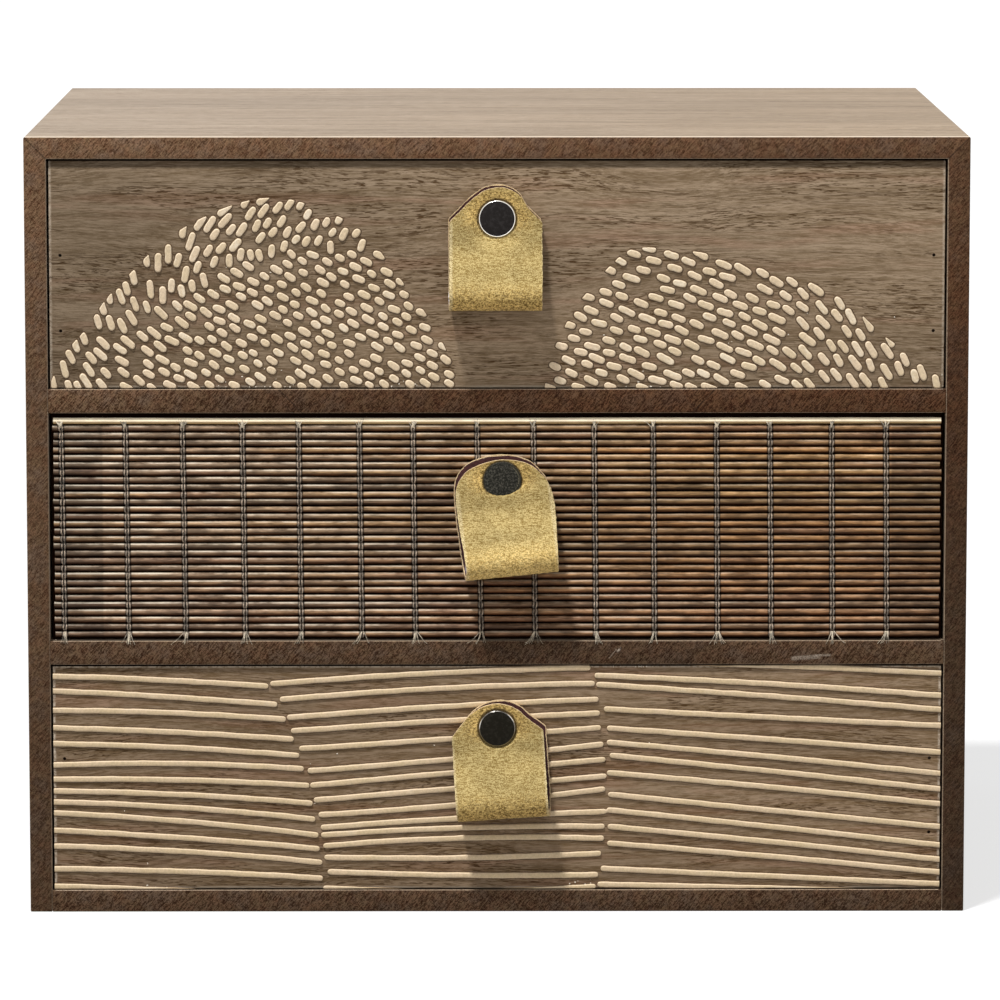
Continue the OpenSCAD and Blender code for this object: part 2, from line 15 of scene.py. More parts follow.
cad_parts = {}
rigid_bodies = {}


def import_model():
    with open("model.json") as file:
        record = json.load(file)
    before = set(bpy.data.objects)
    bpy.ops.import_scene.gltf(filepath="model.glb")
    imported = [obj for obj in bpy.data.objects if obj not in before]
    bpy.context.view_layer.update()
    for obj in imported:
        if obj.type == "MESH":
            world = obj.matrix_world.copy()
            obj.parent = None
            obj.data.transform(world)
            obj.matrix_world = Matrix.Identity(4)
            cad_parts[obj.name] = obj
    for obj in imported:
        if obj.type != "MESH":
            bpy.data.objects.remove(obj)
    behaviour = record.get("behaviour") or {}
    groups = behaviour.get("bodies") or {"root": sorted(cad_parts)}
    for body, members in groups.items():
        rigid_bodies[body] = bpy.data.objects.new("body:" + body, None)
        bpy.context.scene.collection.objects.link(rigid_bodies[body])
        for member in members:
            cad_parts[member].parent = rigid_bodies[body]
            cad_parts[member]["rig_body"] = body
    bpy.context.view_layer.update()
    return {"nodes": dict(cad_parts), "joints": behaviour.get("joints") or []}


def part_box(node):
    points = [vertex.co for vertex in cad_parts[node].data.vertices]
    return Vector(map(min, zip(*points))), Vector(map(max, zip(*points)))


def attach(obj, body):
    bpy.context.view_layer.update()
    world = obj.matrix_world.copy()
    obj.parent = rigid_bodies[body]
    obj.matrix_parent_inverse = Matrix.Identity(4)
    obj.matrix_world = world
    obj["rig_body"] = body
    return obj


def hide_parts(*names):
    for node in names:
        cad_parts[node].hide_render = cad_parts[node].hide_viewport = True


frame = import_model()

MM = 0.001
TIERS = ("bottom", "middle", "top")
SEED = 41
WHITE = (1.0, 1.0, 1.0)

# ---------------------------------------------------------------- places taken from the frame


def box_mm(node):
    """Lowest and highest corner of a CAD node, in millimetres."""
    return [[float(v) / MM for v in corner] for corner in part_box(node)]


CASE_LOW, CASE_HIGH = box_mm("case_top")
CASE_HALF_W, CASE_FRONT, CASE_TOP = CASE_HIGH[0], CASE_LOW[1], CASE_HIGH[2]
DRAWER_HALF_W = box_mm("top_drawer_front")[1][0]
BOARD_T = CASE_TOP - box_mm("top_drawer_front")[1][2]
FACE_Y = {tier: box_mm(f"{tier}_drawer_front")[0][1] for tier in TIERS}
STUD = {tier: [v / MM for v in joint["pos_m"]] for tier in TIERS for joint in frame["joints"]
        if joint["name"] == f"{tier}_pull_swivel"}

# ---------------------------------------------------------------- mesh helpers


def add_object(name, data):
    made = bpy.data.objects.new(name, data)
    bpy.context.scene.collection.objects.link(made)
    return made


def mesh_object(mesh, materials, slots=None, smooth=True):
    for material in materials:
        mesh.materials.append(material)
    if slots is not None:
        mesh.polygons.foreach_set("material_index", slots)
    mesh.polygons.foreach_set("use_smooth", [smooth] * len(mesh.polygons))
    mesh.update()
    return add_object(mesh.name, mesh)


def make_object(name, verts, faces, *others, **settings):
    """Mesh object from points in millimetres."""
    mesh = bpy.data.meshes.new(name)
    mesh.from_pydata([tuple(v * MM for v in p) for p in verts], [], faces)
    return mesh_object(mesh, *others, **settings)


def smooth_by_angle(piece, degrees, turn_out=False, merge=0.0):
    """Marks edges sharper than the angle, so that only gentle bends are shaded smooth. Where asked, it
    first joins points nearer than merge (in metres) and turns all faces outwards."""
    bm = bmesh.new()
    bm.from_mesh(piece.data)
    if merge:
        bmesh.ops.remove_doubles(bm, verts=bm.verts, dist=merge)
    if turn_out:
        bmesh.ops.recalc_face_normals(bm, faces=bm.faces)
    limit = math.radians(degrees)
    for edge in bm.edges:
        edge.smooth = len(edge.link_faces) != 2 or edge.calc_face_angle(0.0) < limit
    bm.to_mesh(piece.data)
    bm.free()


def fractal(point, size, octaves=2):
    """Smooth repeatable noise from about -1 to 1, with features of the given size."""
    return noise.fractal(Vector(point) / size, 1.0, 2.0, octaves)


def ramp(value, low, high):
    """Smooth step from 0 at low to 1 at high."""
    share = min(1.0, max(0.0, (value - low) / (high - low)))
    return share * share * (3 - 2 * share)


def cos_sin(degrees):
    return math.cos(math.radians(degrees)), math.sin(math.radians(degrees))


def circle(count):
    """Cosine and sine of a number of angles all round."""
    angles = (2 * math.pi * k / count for k in range(count))
    return [(math.cos(angle), math.sin(angle)) for angle in angles]


def curve_through(points, steps):
    """Smooth curve through the points, with a number of steps between neighbours."""
    p = np.array(points, float)
    out = []
    for k in range(len(p) - 1):
        a, b, c, d = p[max(k - 1, 0)], p[k], p[k + 1], p[min(k + 2, len(p) - 1)]
        for i in range(steps):
            t = i / steps
            out.append(0.5 * (2 * b + (c - a) * t + (2 * a - 5 * b + 4 * c - d) * t**2
                              + (3 * b - a - 3 * c + d) * t**3))
    out.append(p[-1])
    return np.array(out)


def ring_faces(rows, around, flip=False, caps=True):
    """Faces of a tube whose points come in rows of closed rings."""
    faces = []
    for start in range(0, (rows - 1) * around, around):
        for k in range(around):
            a, b = start + k, start + (k + 1) % around
            c, d = a + around, b + around
            faces.append((a, c, d, b) if flip else (a, b, d, c))
    if caps:
        first, last = tuple(range(around)), tuple(range((rows - 1) * around, rows * around))
        faces += [first, last[::-1]] if flip else [first[::-1], last]
    return faces


def tube(path, radius, sides, taper=None):
    """Verts and faces of a closed tube along a path. taper gives the radius share at each point."""
    path = np.array(path, float)
    tangent = np.gradient(path, axis=0)
    tangent /= np.linalg.norm(tangent, axis=1)[:, None]
    side = np.cross(tangent, (0.0, 1.0, 0.0))
    weak = np.linalg.norm(side, axis=1) < 0.2
    side[weak] = np.cross(tangent[weak], (1.0, 0.0, 0.0))
    side /= np.linalg.norm(side, axis=1)[:, None]
    up = np.cross(side, tangent)
    share = np.ones(len(path)) if taper is None else taper
    verts = []
    for i, point in enumerate(path):
        verts += [point + radius * share[i] * (cos * side[i] + sin * up[i]) for cos, sin in circle(sides)]
    return verts, ring_faces(len(path), sides)


class Parts:
    """Collects the verts and faces of many small solids for one mesh."""

    def __init__(self):
        self.verts, self.faces, self.slots = [], [], []

    def add(self, verts, faces, slots=None):
        start = len(self.verts)
        self.verts.extend(verts)
        self.faces.extend(tuple(start + i for i in face) for face in faces)
        self.slots.extend(slots or [0] * len(faces))

    def make(self, name, *materials):
        return make_object(name, self.verts, self.faces, materials, self.slots)


# ---------------------------------------------------------------- material helpers


def fill(socket, value):
    """Links a socket to a value or sets it. Colours are given without their alpha."""
    if isinstance(value, Value):
        value = value.socket
    if isinstance(value, bpy.types.NodeSocket):
        socket.id_data.links.new(value, socket)
    elif value is not None:
        socket.default_value = (*value, 1.0) if socket.type == "RGBA" else value


class Value:
    """What a node gives out: a number, a colour or a vector. The usual signs make maths nodes."""

    def __init__(self, graph, socket):
        self.graph, self.socket = graph, socket

    def __add__(self, other):
        return self.graph.math("ADD", self, other)

    def __sub__(self, other):
        return self.graph.math("SUBTRACT", self, other)

    def __rsub__(self, other):
        return self.graph.math("SUBTRACT", other, self)

    def __mul__(self, other):
        return self.graph.math("MULTIPLY", self, other)

    def __abs__(self):
        return self.graph.math("ABSOLUTE", self)

    def step(self, low, high, start=0.0, end=1.0):
        """Smooth step: start below low, end above high."""
        return self.graph.node("ShaderNodeMapRange", {0: self, 1: low, 2: high, 3: start, 4: end},
                               interpolation_type="SMOOTHSTEP")

    def between(self, low, high, a, b):
        """Colour a below low, passing to colour b above high."""
        return self.graph.mix(self.step(low, high), a, b)


class Graph:
    """The nodes of a material or of the world."""

    def __init__(self, tree):
        self.tree = tree

    def node(self, kind, inputs, output=0, **settings):
        made = self.tree.nodes.new(kind)
        for key, value in settings.items():
            setattr(made, key, value)
        for key, value in inputs.items():
            fill(made.inputs[key], value)
        return Value(self, made.outputs[output])

    def math(self, operation, a, b=None):
        return self.node("ShaderNodeMath", {0: a, 1: b}, operation=operation)

    def vector(self, operation, a, b):
        return self.node("ShaderNodeVectorMath", {0: a, 1: b}, operation=operation)

    def point(self, x, y, z):
        return self.node("ShaderNodeCombineXYZ", {0: x, 1: y, 2: z})

    def radius(self, a, b):
        return self.math("SQRT", a * a + b * b)

    def mix(self, factor, a, b, blend="MIX"):
        return self.node("ShaderNodeMix", {0: factor, 6: a, 7: b}, 2, data_type="RGBA", blend_type=blend)

    def tint(self, colour, other):
        """Colour times another colour."""
        return self.mix(1.0, colour, other, "MULTIPLY")

    def shade(self, colour, value):
        """Colour times a grey value."""
        return self.tint(colour, self.node("ShaderNodeCombineColor", {0: value, 1: value, 2: value}))

    def seen_as_background(self):
        """1 for rays from the camera and for rays that mirror or glass send on."""
        rays = self.tree.nodes.new("ShaderNodeLightPath").outputs
        seen = rays["Is Camera Ray"]
        for name in ("Is Glossy Ray", "Is Transmission Ray"):
            seen = self.math("MAXIMUM", seen, rays[name])
        return seen


class Surface(Graph):
    """A material's nodes. Positions are the model's own, in millimetres."""

    def __init__(self, name, roughness, specular=0.5, **others):
        self.material = bpy.data.materials.new(name)
        self.material.use_nodes = True
        super().__init__(self.material.node_tree)
        self.tree.nodes.clear()
        output = self.tree.nodes.new("ShaderNodeOutputMaterial")
        self.shader = self.tree.nodes.new("ShaderNodeBsdfPrincipled")
        self.tree.links.new(self.shader.outputs[0], output.inputs[0])
        for socket, value in {"Roughness": roughness, "Specular IOR Level": specular, **others}.items():
            self.set(socket.replace("_", " "), value)
        coordinates = self.tree.nodes.new("ShaderNodeTexCoord")
        self.place = self.node("ShaderNodeVectorMath", {0: coordinates.outputs["Object"], "Scale": 1 / MM},
                               operation="SCALE")
        axes = self.node("ShaderNodeSeparateXYZ", {0: self.place}).socket.node.outputs
        self.x, self.y, self.z = (Value(self, axis) for axis in axes)

    def set(self, socket, value):
        fill(self.shader.inputs[socket], value)

    def noise(self, fineness, detail=2, roughness=0.5, of=None, shift=None):
        """Smooth noise at a place, with its fineness given for all axes at once or for each."""
        place = of or self.place
        if fineness is not None:
            by_axis = fineness if isinstance(fineness, tuple) else (fineness,) * 3
            place = self.vector("MULTIPLY", place, by_axis)
        if shift:
            place = self.vector("ADD", place, shift)
        return self.node("ShaderNodeTexNoise", {"Vector": place, "Scale": 1.0, "Detail": detail,
                                                "Roughness": roughness})

    def finish(self, colour, height=None, depth=0.0, strength=1.0):
        """Sets the colour and a relief with its depth, and gives back the material."""
        self.set("Base Color", colour)
        if height:
            self.set("Normal", self.node("ShaderNodeBump", {"Height": height, "Distance": depth * MM,
                                                            "Strength": strength}))
        return self.material


def speckled(name, pattern, span, colours, relief=None, glints=(), shine=None, **surface):
    """A material with one fine pattern. pattern: fineness, detail and roughness of its noise. span: where the
    noise passes from the first colour to the second. glints: bright spots of the colour shine, as x, z."""
    g = Surface(name, **surface)
    speck = g.noise(*pattern)
    colour = speck.between(*span, *colours)
    for x, z in glints:
        colour = g.mix(g.radius(g.x - x, (g.z - z) * 0.5).step(1.15, 0.5, 0, 0.85), colour, shine)
    return g.finish(colour, speck, *relief) if relief else g.finish(colour)


# ---------------------------------------------------------------- wood materials


def grain(g, axis, offset=0.0):
    """Grey patterns of a stained, open-pored wood whose grain runs along an axis."""

    def by_axis(along, across):
        return tuple(along if name == axis else across for name in "XYZ")

    shifted = g.vector("ADD", g.place, (offset, offset * 0.7, offset * 0.4))
    wander = g.noise(by_axis(0.014, 0.035), 1, of=shifted)
    bend = g.vector("MULTIPLY", g.point(wander, wander, wander), by_axis(0.0, 11.0))
    bent = g.vector("ADD", shifted, bend)
    parts = {name: g.noise(by_axis(along, across), detail, roughness, place)
             for name, along, across, detail, roughness, place in (
                 ("streak", 0.009, 0.5, 3, 0.6, bent), ("fibre", 0.2, 2.9, 4, 0.75, bent),
                 ("pore", 0.27, 3.1, 2, 0.62, bent), ("cluster", 0.022, 0.16, 2, 0.5, bent),
                 ("vein", 0.012, 0.42, 3, 0.55, bent), ("blotch", 0.008, 0.03, 2, 0.5, shifted),
                 ("tint", 0.02, 0.22, 2, 0.5, shifted))}
    parts["vein"] = abs(parts["vein"] - 0.5).step(0.016, 0.003)
    return parts


def wood_colour(g, parts, light, dark, pore_colour, pores=0.8):
    """Colour of the wood and the share of its dark marks."""
    tone = parts["streak"] * 0.36 + parts["fibre"] * 0.64
    colour = g.shade(tone.between(0.39, 0.61, dark, light), parts["blotch"].step(0.3, 0.7, 0.9, 1.08))
    open_pore = parts["pore"].step(0.54, 0.62) * (parts["cluster"].step(0.42, 0.62) * 0.75 + 0.25)
    line = parts["vein"] * parts["cluster"].step(0.35, 0.6, 0.1, 0.8)
    mark = g.math("MAXIMUM", open_pore, line) * pores
    return g.mix(mark, colour, pore_colour), mark


def finish_wood(g, colour, parts, mark, depth, share=1.0):
    """Adds a relief of fine fibres and sunk marks. share is where the fibres show at all."""
    return g.finish(colour, parts["fibre"] * 0.35 * share + mark * -0.7, depth, 0.8)


def stain_tone(g, board):
    """How light the stained front edges are: the top and the sides darken to the right and downwards, and the
    lower shelf's edge carries a painted shadow of the middle pull.
    """
    if board == "top":
        return g.x.step(-120, 120, 1.04, 0.68)
    if board == "side":
        left, right = (g.z.step(10, 120, *tones) + g.z.step(130, 200, 0, 0.22)
                       for tones in ((0.56, 0.8), (0.36, 0.4)))
        return g.x.step(-1, 1, left, right)
    rise = g.z.step(70, 141, 0.02, 0.33)
    level = g.z.step(20, 60, 0.51, 0.57) + g.z.step(80, 135, 0, -0.08)
    # dark: the lower shelf's edge is darker in its middle, a painted shadow of the middle pull.
    dark = g.x.step(-25, 0) * g.x.step(50, 70, 1, 0) * g.z.step(20, 60) * g.z.step(80, 135, 1, 0)
    return g.x.step(-120, -50, 1, 0) * rise + level + dark * -0.12


def edge_stain(g, board):
    """Dark stain of the case's front edges: mottled brown, crossed by fine sanding scratches."""
    speck = g.noise(3.1, 3, 0.75)
    steep, flat = (
        g.noise(fineness, 2, 0.65, g.node("ShaderNodeMapping", {"Vector": g.place,
                                                                "Rotation": (0, math.radians(degrees), 0)}))
        for degrees, fineness in ((50, (0.7, 1.0, 3.4)), (-42, (0.8, 1.0, 3.8)))
    )
    colour = g.noise(0.34, 4, 0.7).between(0.34, 0.66, (0.127, 0.064, 0.034), (0.125, 0.072, 0.038))
    other = g.noise(0.2, 3, 0.65, shift=(31, 7, 12))
    colour = g.mix(other.step(0.42, 0.7, 0, 0.85), colour, (0.118, 0.072, 0.046))
    warm = g.x.step(-120, 40) * g.z.step(75, 140) * g.z.step(160, 200, 1, 0.4)
    colour = g.mix(warm, colour, g.tint(colour, (1.1, 0.91, 0.8)))
    tone = speck * 0.4 + steep * 0.42 + flat * 0.18
    spread = 0.085 if board == "shelf" else 0.135
    depth = tone.between(0.5 - spread, 0.5 + spread, (0.32, 0.225, 0.155), (1.8, 1.97, 2.1))
    return g.shade(g.tint(colour, depth), stain_tone(g, board)), speck


def scratch(g, x, z, degrees, length, width):
    """1 along a short straight scratch on a front face, 0 elsewhere."""
    dx, dz = g.x - x, g.z - z
    cos, sin = cos_sin(degrees)
    along, across = abs(dx * cos + dz * sin), abs(dx * -sin + dz * cos)
    return along.step(length / 2, length / 2 - 0.6) * across.step(width, 0.3 * width)


def case_wood(name, axis, board, offset=0.0, rub=1.0, marks=()):
    """Veneered board: pale grey-brown faces and dark stained front edges, rubbed pale at their corners and
    partly brightened there as painted highlight.
    """
    g = Surface(name, 0.6, 0.05)
    parts = grain(g, axis, offset)
    yellow = g.x.step(CASE_LOW[0], CASE_HALF_W)
    light = g.mix(yellow, (0.405, 0.33, 0.257), (0.39, 0.305, 0.222))
    dark = g.mix(yellow, (0.26, 0.2, 0.147), (0.248, 0.184, 0.124))
    face, pore = wood_colour(g, parts, light, dark, (0.13, 0.092, 0.06), 0.62)
    # The top face is painted darker than the sides: painted shade that offsets the strong light from above.
    face = g.shade(face, g.z.step(CASE_TOP - 0.6, CASE_TOP - 0.3, 1, 0.91))
    edge, speck = edge_stain(g, board)
    mitre = abs(CASE_HALF_W - CASE_TOP - abs(g.x) + g.z)
    edge = g.mix(mitre.step(0.32, 0.08, 0, 0.62), edge, (0.016, 0.01, 0.007))
    for *place, strength in marks:
        edge = g.mix(scratch(g, *place) * speck.step(0.35, 0.65, 0.15, strength), edge, (0.42, 0.35, 0.28))
    # On the shelves, the top just behind the front edge is painted nearly black: painted shade in the gap
    # under the drawer fronts.
    if board == "shelf":
        face = g.y.between(CASE_FRONT + 1.0, CASE_FRONT + 2.2, (0.02, 0.012, 0.006), face)
    behind = g.y.step(CASE_FRONT + 0.3, CASE_FRONT + 0.55)
    colour = g.mix(behind, edge, face)
    # Pale rubbed wear along the eased front edges, partly painted highlight of their rounding.
    rubbed = g.y.step(CASE_FRONT + 0.02, CASE_FRONT + 0.12) * g.y.step(CASE_FRONT + 0.6, CASE_FRONT + 0.35)
    if board == "shelf":
        rubbed = rubbed * abs(g.x).step(DRAWER_HALF_W, DRAWER_HALF_W - 0.5)
    upper = g.z.step(CASE_TOP - 0.6, CASE_TOP - 0.35)
    wear = (speck + upper * 0.15).step(0.32, 0.6, 0.2, 0.9)
    if board == "side":
        opening = CASE_HALF_W - BOARD_T
        rub = abs(g.x).step(opening + 0.8, opening + 0.5, rub, 0.95)
    # The top's front edge is painted palest: painted highlight over its rubbed wear.
    worn = g.mix(upper, (0.46, 0.35, 0.25), (0.8, 0.68, 0.54))
    colour = g.mix(rubbed * (wear * rub), colour, worn)
    return finish_wood(g, colour, parts, pore + (1.0 - behind) * speck * -0.9, 0.08, behind)


def front_wood(name, tier, light, dark, offset=0.0, rub=0.6):
    """Drawer front: brown wood with long dark pores, rubbed pale along its edges. Its top edge is nearly
    black as painted shade of the gap above it, and the top drawer carries a painted shadow of the case's top.
    """
    g = Surface(name, 0.65, 0.05)
    low, high = box_mm(f"{tier}_drawer_front")
    parts = grain(g, "X", offset)
    colour, pore = wood_colour(g, parts, light, dark, (0.047, 0.022, 0.006), 0.9)
    colour = g.mix(parts["tint"].step(0.5, 0.68, 0, 0.5), colour, g.tint(colour, (1.06, 0.88, 0.88)))
    colour = g.shade(colour, g.x.step(-120, 120, 0.88, 1.1))
    if tier == "top":
        colour = g.shade(colour, abs(g.x).step(80, 15, 1, 1.14) * g.x.step(-100, -84, 0.9, 1))
    ragged = g.noise(1.1, 3, 0.7)
    edges = g.math("MINIMUM", g.x - low[0], high[0] - g.x)
    if tier == "bottom":
        edges = g.math("MINIMUM", edges, high[2] + 0.15 - g.z)
    rubbed = edges.step(0.95, 0.3) * ragged.step(0.4, 0.56, 0.25, 1)
    colour = g.mix(rubbed * rub, colour, (0.5, 0.42, 0.33))
    foot = (g.z - low[2]).step(0.9, 0.3) * g.noise((0.1, 1.0, 0.8), 3).step(0.36, 0.62, 0.15, 0.75)
    colour = g.mix(foot, colour, (0.37, 0.31, 0.24))
    # Painted shadow of the case's top along the top drawer's upper edge.
    if tier == "top":
        head = (high[2] - (g.z + ragged * 0.8)).step(2.1, 1.2, 0, 0.4)
        colour = g.shade(colour, 1.0 - head)
    # Nearly black top edge: painted shade of the gap above the front.
    colour = g.z.between(high[2] - 0.2, high[2] - 0.06, colour, (0.016, 0.01, 0.006))
    return finish_wood(g, colour, parts, pore, 0.1)


def plain_wood(name, axis, light, dark, offset):
    g = Surface(name, 0.65, 0.15)
    parts = grain(g, axis, offset)
    colour, pore = wood_colour(g, parts, light, dark, (0.1, 0.07, 0.045), 0.5)
    return finish_wood(g, colour, parts, pore, 0.06)


def mat_backing(name):
    """Front board behind the stick mat: its front face is painted nearly black, as painted shade in the gaps
    between the sticks.
    """
    g = Surface(name, 0.8, 0.02)
    parts = grain(g, "X", 60.0)
    colour, pore = wood_colour(g, parts, (0.16, 0.115, 0.08), (0.09, 0.06, 0.04), (0.04, 0.025, 0.02))
    # Painted shade: the front face behind the sticks nearly black.
    colour = g.y.between(FACE_Y["middle"] + 0.1, FACE_Y["middle"] + 0.5, (0.012, 0.004, 0.0015), colour)
    return finish_wood(g, colour, parts, pore, 0.08)


# ---------------------------------------------------------------- other materials


def relief_paint(name, tier, body, pale, rim_highlight):
    """Thick cream paint of the raised dashes and lines: paler at the rim as painted highlight, and darkening
    to near black at its foot as painted shade where it meets the wood.
    """
    g = Surface(name, 0.5, 0.35)
    rise = FACE_Y[tier] - g.y
    fine = g.noise(1.7, 3, 0.65)
    colour = g.shade(g.noise(0.12).between(0.35, 0.65, body, pale), fine.step(0.3, 0.7, 0.86, 1.07))
    # rim: painted highlight round the bead's bend to its top.
    rim = rise.step(0.22, 0.31) * rise.step(0.41, 0.36)
    colour = g.mix(rim * rim_highlight, colour, (0.86, 0.76, 0.6))
    # The lower flank darkens and the foot is near black: painted shade where the bead meets the wood.
    stained = fine.between(0.35, 0.65, (0.045, 0.022, 0.008), (0.11, 0.068, 0.032))
    worn = rise.between(0.14, 0.28, (0.4, 0.27, 0.15), colour)
    return g.finish(rise.between(0.04, 0.09, stained, worn), fine, 0.07, 0.7)


def stick_material(name, low, pitch, count, columns):
    """Lacquered reed sticks, grey-brown at the left to golden red-brown at the right, dark by the threads
    and beyond the last ones, with painted shade on each stick's lower side and a painted highlight near its
    top. The top stick is painted pale, as painted light where the shelf above shades it."""
    g = Surface(name, 0.5, 0.12)
    turns = (g.z - low) * (1 / pitch)
    row, phase = g.math("FLOOR", turns), g.math("FRACT", turns)
    chance = g.node("ShaderNodeTexWhiteNoise", {"W": row}, noise_dimensions="1D")
    spot = g.point(g.x * 0.022, chance * 37.0, 0.0)
    drift = g.noise(None, of=spot)
    patch = g.noise(None, 3, 0.65, g.point(g.x * 0.15, chance * 71.0, g.z * 0.5))
    fibre = g.noise(None, 4, 0.7, g.point(g.x * 0.2, chance * 53.0, g.z * 3.2))
    side = g.x.step(-120, 90) + (drift - 0.5) * 1.4 + (chance - 0.5) * 0.6
    colour = side.between(0.0, 0.5, (0.207, 0.139, 0.087), (0.23, 0.139, 0.068))
    colour = side.between(0.5, 1.1, colour, (0.232, 0.118, 0.046))
    colour = g.mix(row.step(12, 4, 0, 0.45), colour, (0.17, 0.096, 0.06))
    golden = row.step(16.5, 18.5) * row.step(25.5, 23.5) * g.x.step(-10, 70, 0, 0.55)
    colour = g.mix(golden, colour, (0.3, 0.18, 0.075))
    red = g.noise(None, 1, of=spot, shift=(7, 0, 3)).step(0.55, 0.68)
    colour = g.mix(red * 0.6, colour, (0.15, 0.076, 0.045))
    colour = g.shade(colour, chance.step(0, 1, 0.72, 1.25))
    colour = g.shade(colour, patch.step(0.34, 0.66, 0.66, 1.36))
    colour = g.shade(colour, fibre.step(0.32, 0.68, 0.58, 1.4))
    # Each stick darkens towards its lower side: painted shade.
    colour = g.tint(colour, phase.between(0.2, 0.55, (0.24, 0.13, 0.06), WHITE))
    # A thin pale line near each stick's top: painted highlight.
    painted_highlight = phase.step(0.64, 0.75) * phase.step(0.95, 0.86) * (patch * 0.5 + drift * 0.5).step(0.4, 0.62) \
        * g.x.step(-120, 60, 0.9, 0.3)
    colour = g.mix(painted_highlight, colour, (0.64, 0.56, 0.44))
    rise = g.math("DIVIDE", row + 0.5, count)
    nearest = None
    for base, (start, lean) in columns:
        distance = abs(g.x - (rise * lean + (base + start)))
        nearest = g.math("MINIMUM", nearest, distance) if nearest else distance
    held = nearest.step(0.68, 1.12, 0.22, 1)
    outer = abs(g.x).step(columns[-1][0] + 0.6, columns[-1][0] + 1.4, 1, 0.64)
    # upper: rows lighter and darker in bands; the lift of the top rows is painted light where the shelf above
    # shades them.
    upper = row.step(20.5, 22.5, 1, 1.2) * row.step(23.5, 25.5, 1, 0.88) * row.step(26, 28.5, 1, 1.33)
    dull = row.step(8, 11) * row.step(20, 22, 1, 0) * g.x.step(-60, 0)
    colour = g.shade(colour, held * outer * upper * dull.step(0, 1, 1, 0.79))
    # The top stick is painted pale as painted light where the shelf above shades it, darker to its lower side
    # as painted shade.
    bare = phase.between(0.25, 0.6, (0.42, 0.28, 0.13), (1.0, 0.87, 0.64))
    bare = g.shade(bare, fibre.step(0.3, 0.7, 0.95, 1.15) * patch.step(0.34, 0.66, 0.9, 1.1))
    return g.finish(row.between(count - 1.6, count - 1.4, colour, bare), fibre, 0.06, 0.8)


def thread_material(name, dark, light):
    """Two-ply thread: fine slanting twist over a soft fuzzy cord."""
    g = Surface(name, 0.85, 0.15, Sheen_Weight=0.3)
    twists_per_mm = 4.0
    twist = g.math("SINE", (g.z + g.x + g.y * 1.7) * (2 * math.pi * twists_per_mm))
    fuzz = g.noise(4.0, 3, 0.7)
    dirt = g.noise((0.6, 0.3, 0.5), 2, 0.7)
    colour = (twist * 0.25 + fuzz).between(0.2, 0.85, dark, light)
    return g.finish(g.shade(colour, dirt.step(0.36, 0.62, 0.42, 1.2)), twist, 0.05, 0.7)


def nap_material(name, tier):
    """Mustard suede with a short grainy pile: darker round the stud and where it turns under, with a painted
    shadow ring round the head and painted light just below the stud and on the fold.
    """
    pull, (stud_x, _, stud_z) = PULLS[tier], STUD[tier]
    g = Surface(name, 0.9, 0.05, Sheen_Weight=0.15, Sheen_Roughness=0.45, Sheen_Tint=(0.95, 0.86, 0.55))
    dx, dz = g.x - stud_x, g.z - stud_z
    cos, sin = cos_sin(pull["turn"])
    up, across = dz * cos - dx * sin, abs(dx * cos + dz * sin)
    fine = g.noise((2.9, 2.9, 3.9), 3, 0.75)
    pile = g.noise((0.8, 1.2, 3.0), 3, 0.7) * 0.4 + fine * 0.6
    tuft = g.noise((1.3, 1.3, 1.8), 3, 0.75) * 0.55 + fine * 0.45
    radius = g.radius(dx, dz)
    near_stud = radius.step(12, 5.5) * up.step(-5, 0)
    deep = g.math("MAXIMUM", near_stud * 0.85, up.step(-15.5, -24) * pull["fold"])
    smooth_nap = pile.between(0.43, 0.57, (0.245, 0.16, 0.045), (0.585, 0.455, 0.2))
    deep_nap = tuft.between(0.42, 0.58, (0.13, 0.068, 0.012), (0.82, 0.56, 0.195))
    colour = g.mix(deep * 0.92, smooth_nap, deep_nap)
    # Painted light: the nap just below the stud is lightened against the head's shadow, and the fold against
    # its shade.
    below = radius.step(10.5, 6.5) * up.step(-4, -5.8)
    lift = (below * pull["lift"] + 1.0) * up.step(-14, -21, 1, pull["fold_tone"])
    colour = g.shade(colour, g.noise(0.16).step(0.35, 0.65, 0.93, 1.06) * lift * pull["tone"])
    pale = across.step(11.7, 12.4) * up.step(1, -3) * fine.step(0.35, 0.6)
    colour = g.mix(pale * 0.6, colour, (0.78, 0.66, 0.4))
    # Painted shadow: a dark ring round the stud's head.
    ring = radius.step(5.75, 5.25) * up.step(-4.5, -1, pull["ring"], 0.85)
    return g.finish(g.mix(ring, colour, (0.035, 0.02, 0.008)), pile, 0.32, 0.9)


def stud_material(name, colour, worn, fineness=1.2, arc_at=None):
    """Blackened stud. arc_at is the (x, z) middle of a pale arc in the head's right half, a painted
    highlight.
    """
    g = Surface(name, 0.4, 0.08)
    speck = g.noise(fineness, 4, 0.7)
    face = g.mix(speck.step(0.45, 0.68, 0, 0.85), colour, worn)
    if arc_at:
        dx, dz = g.x - arc_at[0], g.z - arc_at[1]
        # Painted highlight: a pale arc inside the head's right half.
        arc = abs(g.radius(dx, dz) - 3.9).step(0.17, 0.05) * (dx + dz * 0.2).step(1.6, 3)
        face = g.mix(arc * speck.step(0.35, 0.6, 0.15, 0.6), face, (0.2, 0.175, 0.11))
    return g.finish(face, speck, 0.05, 0.7)


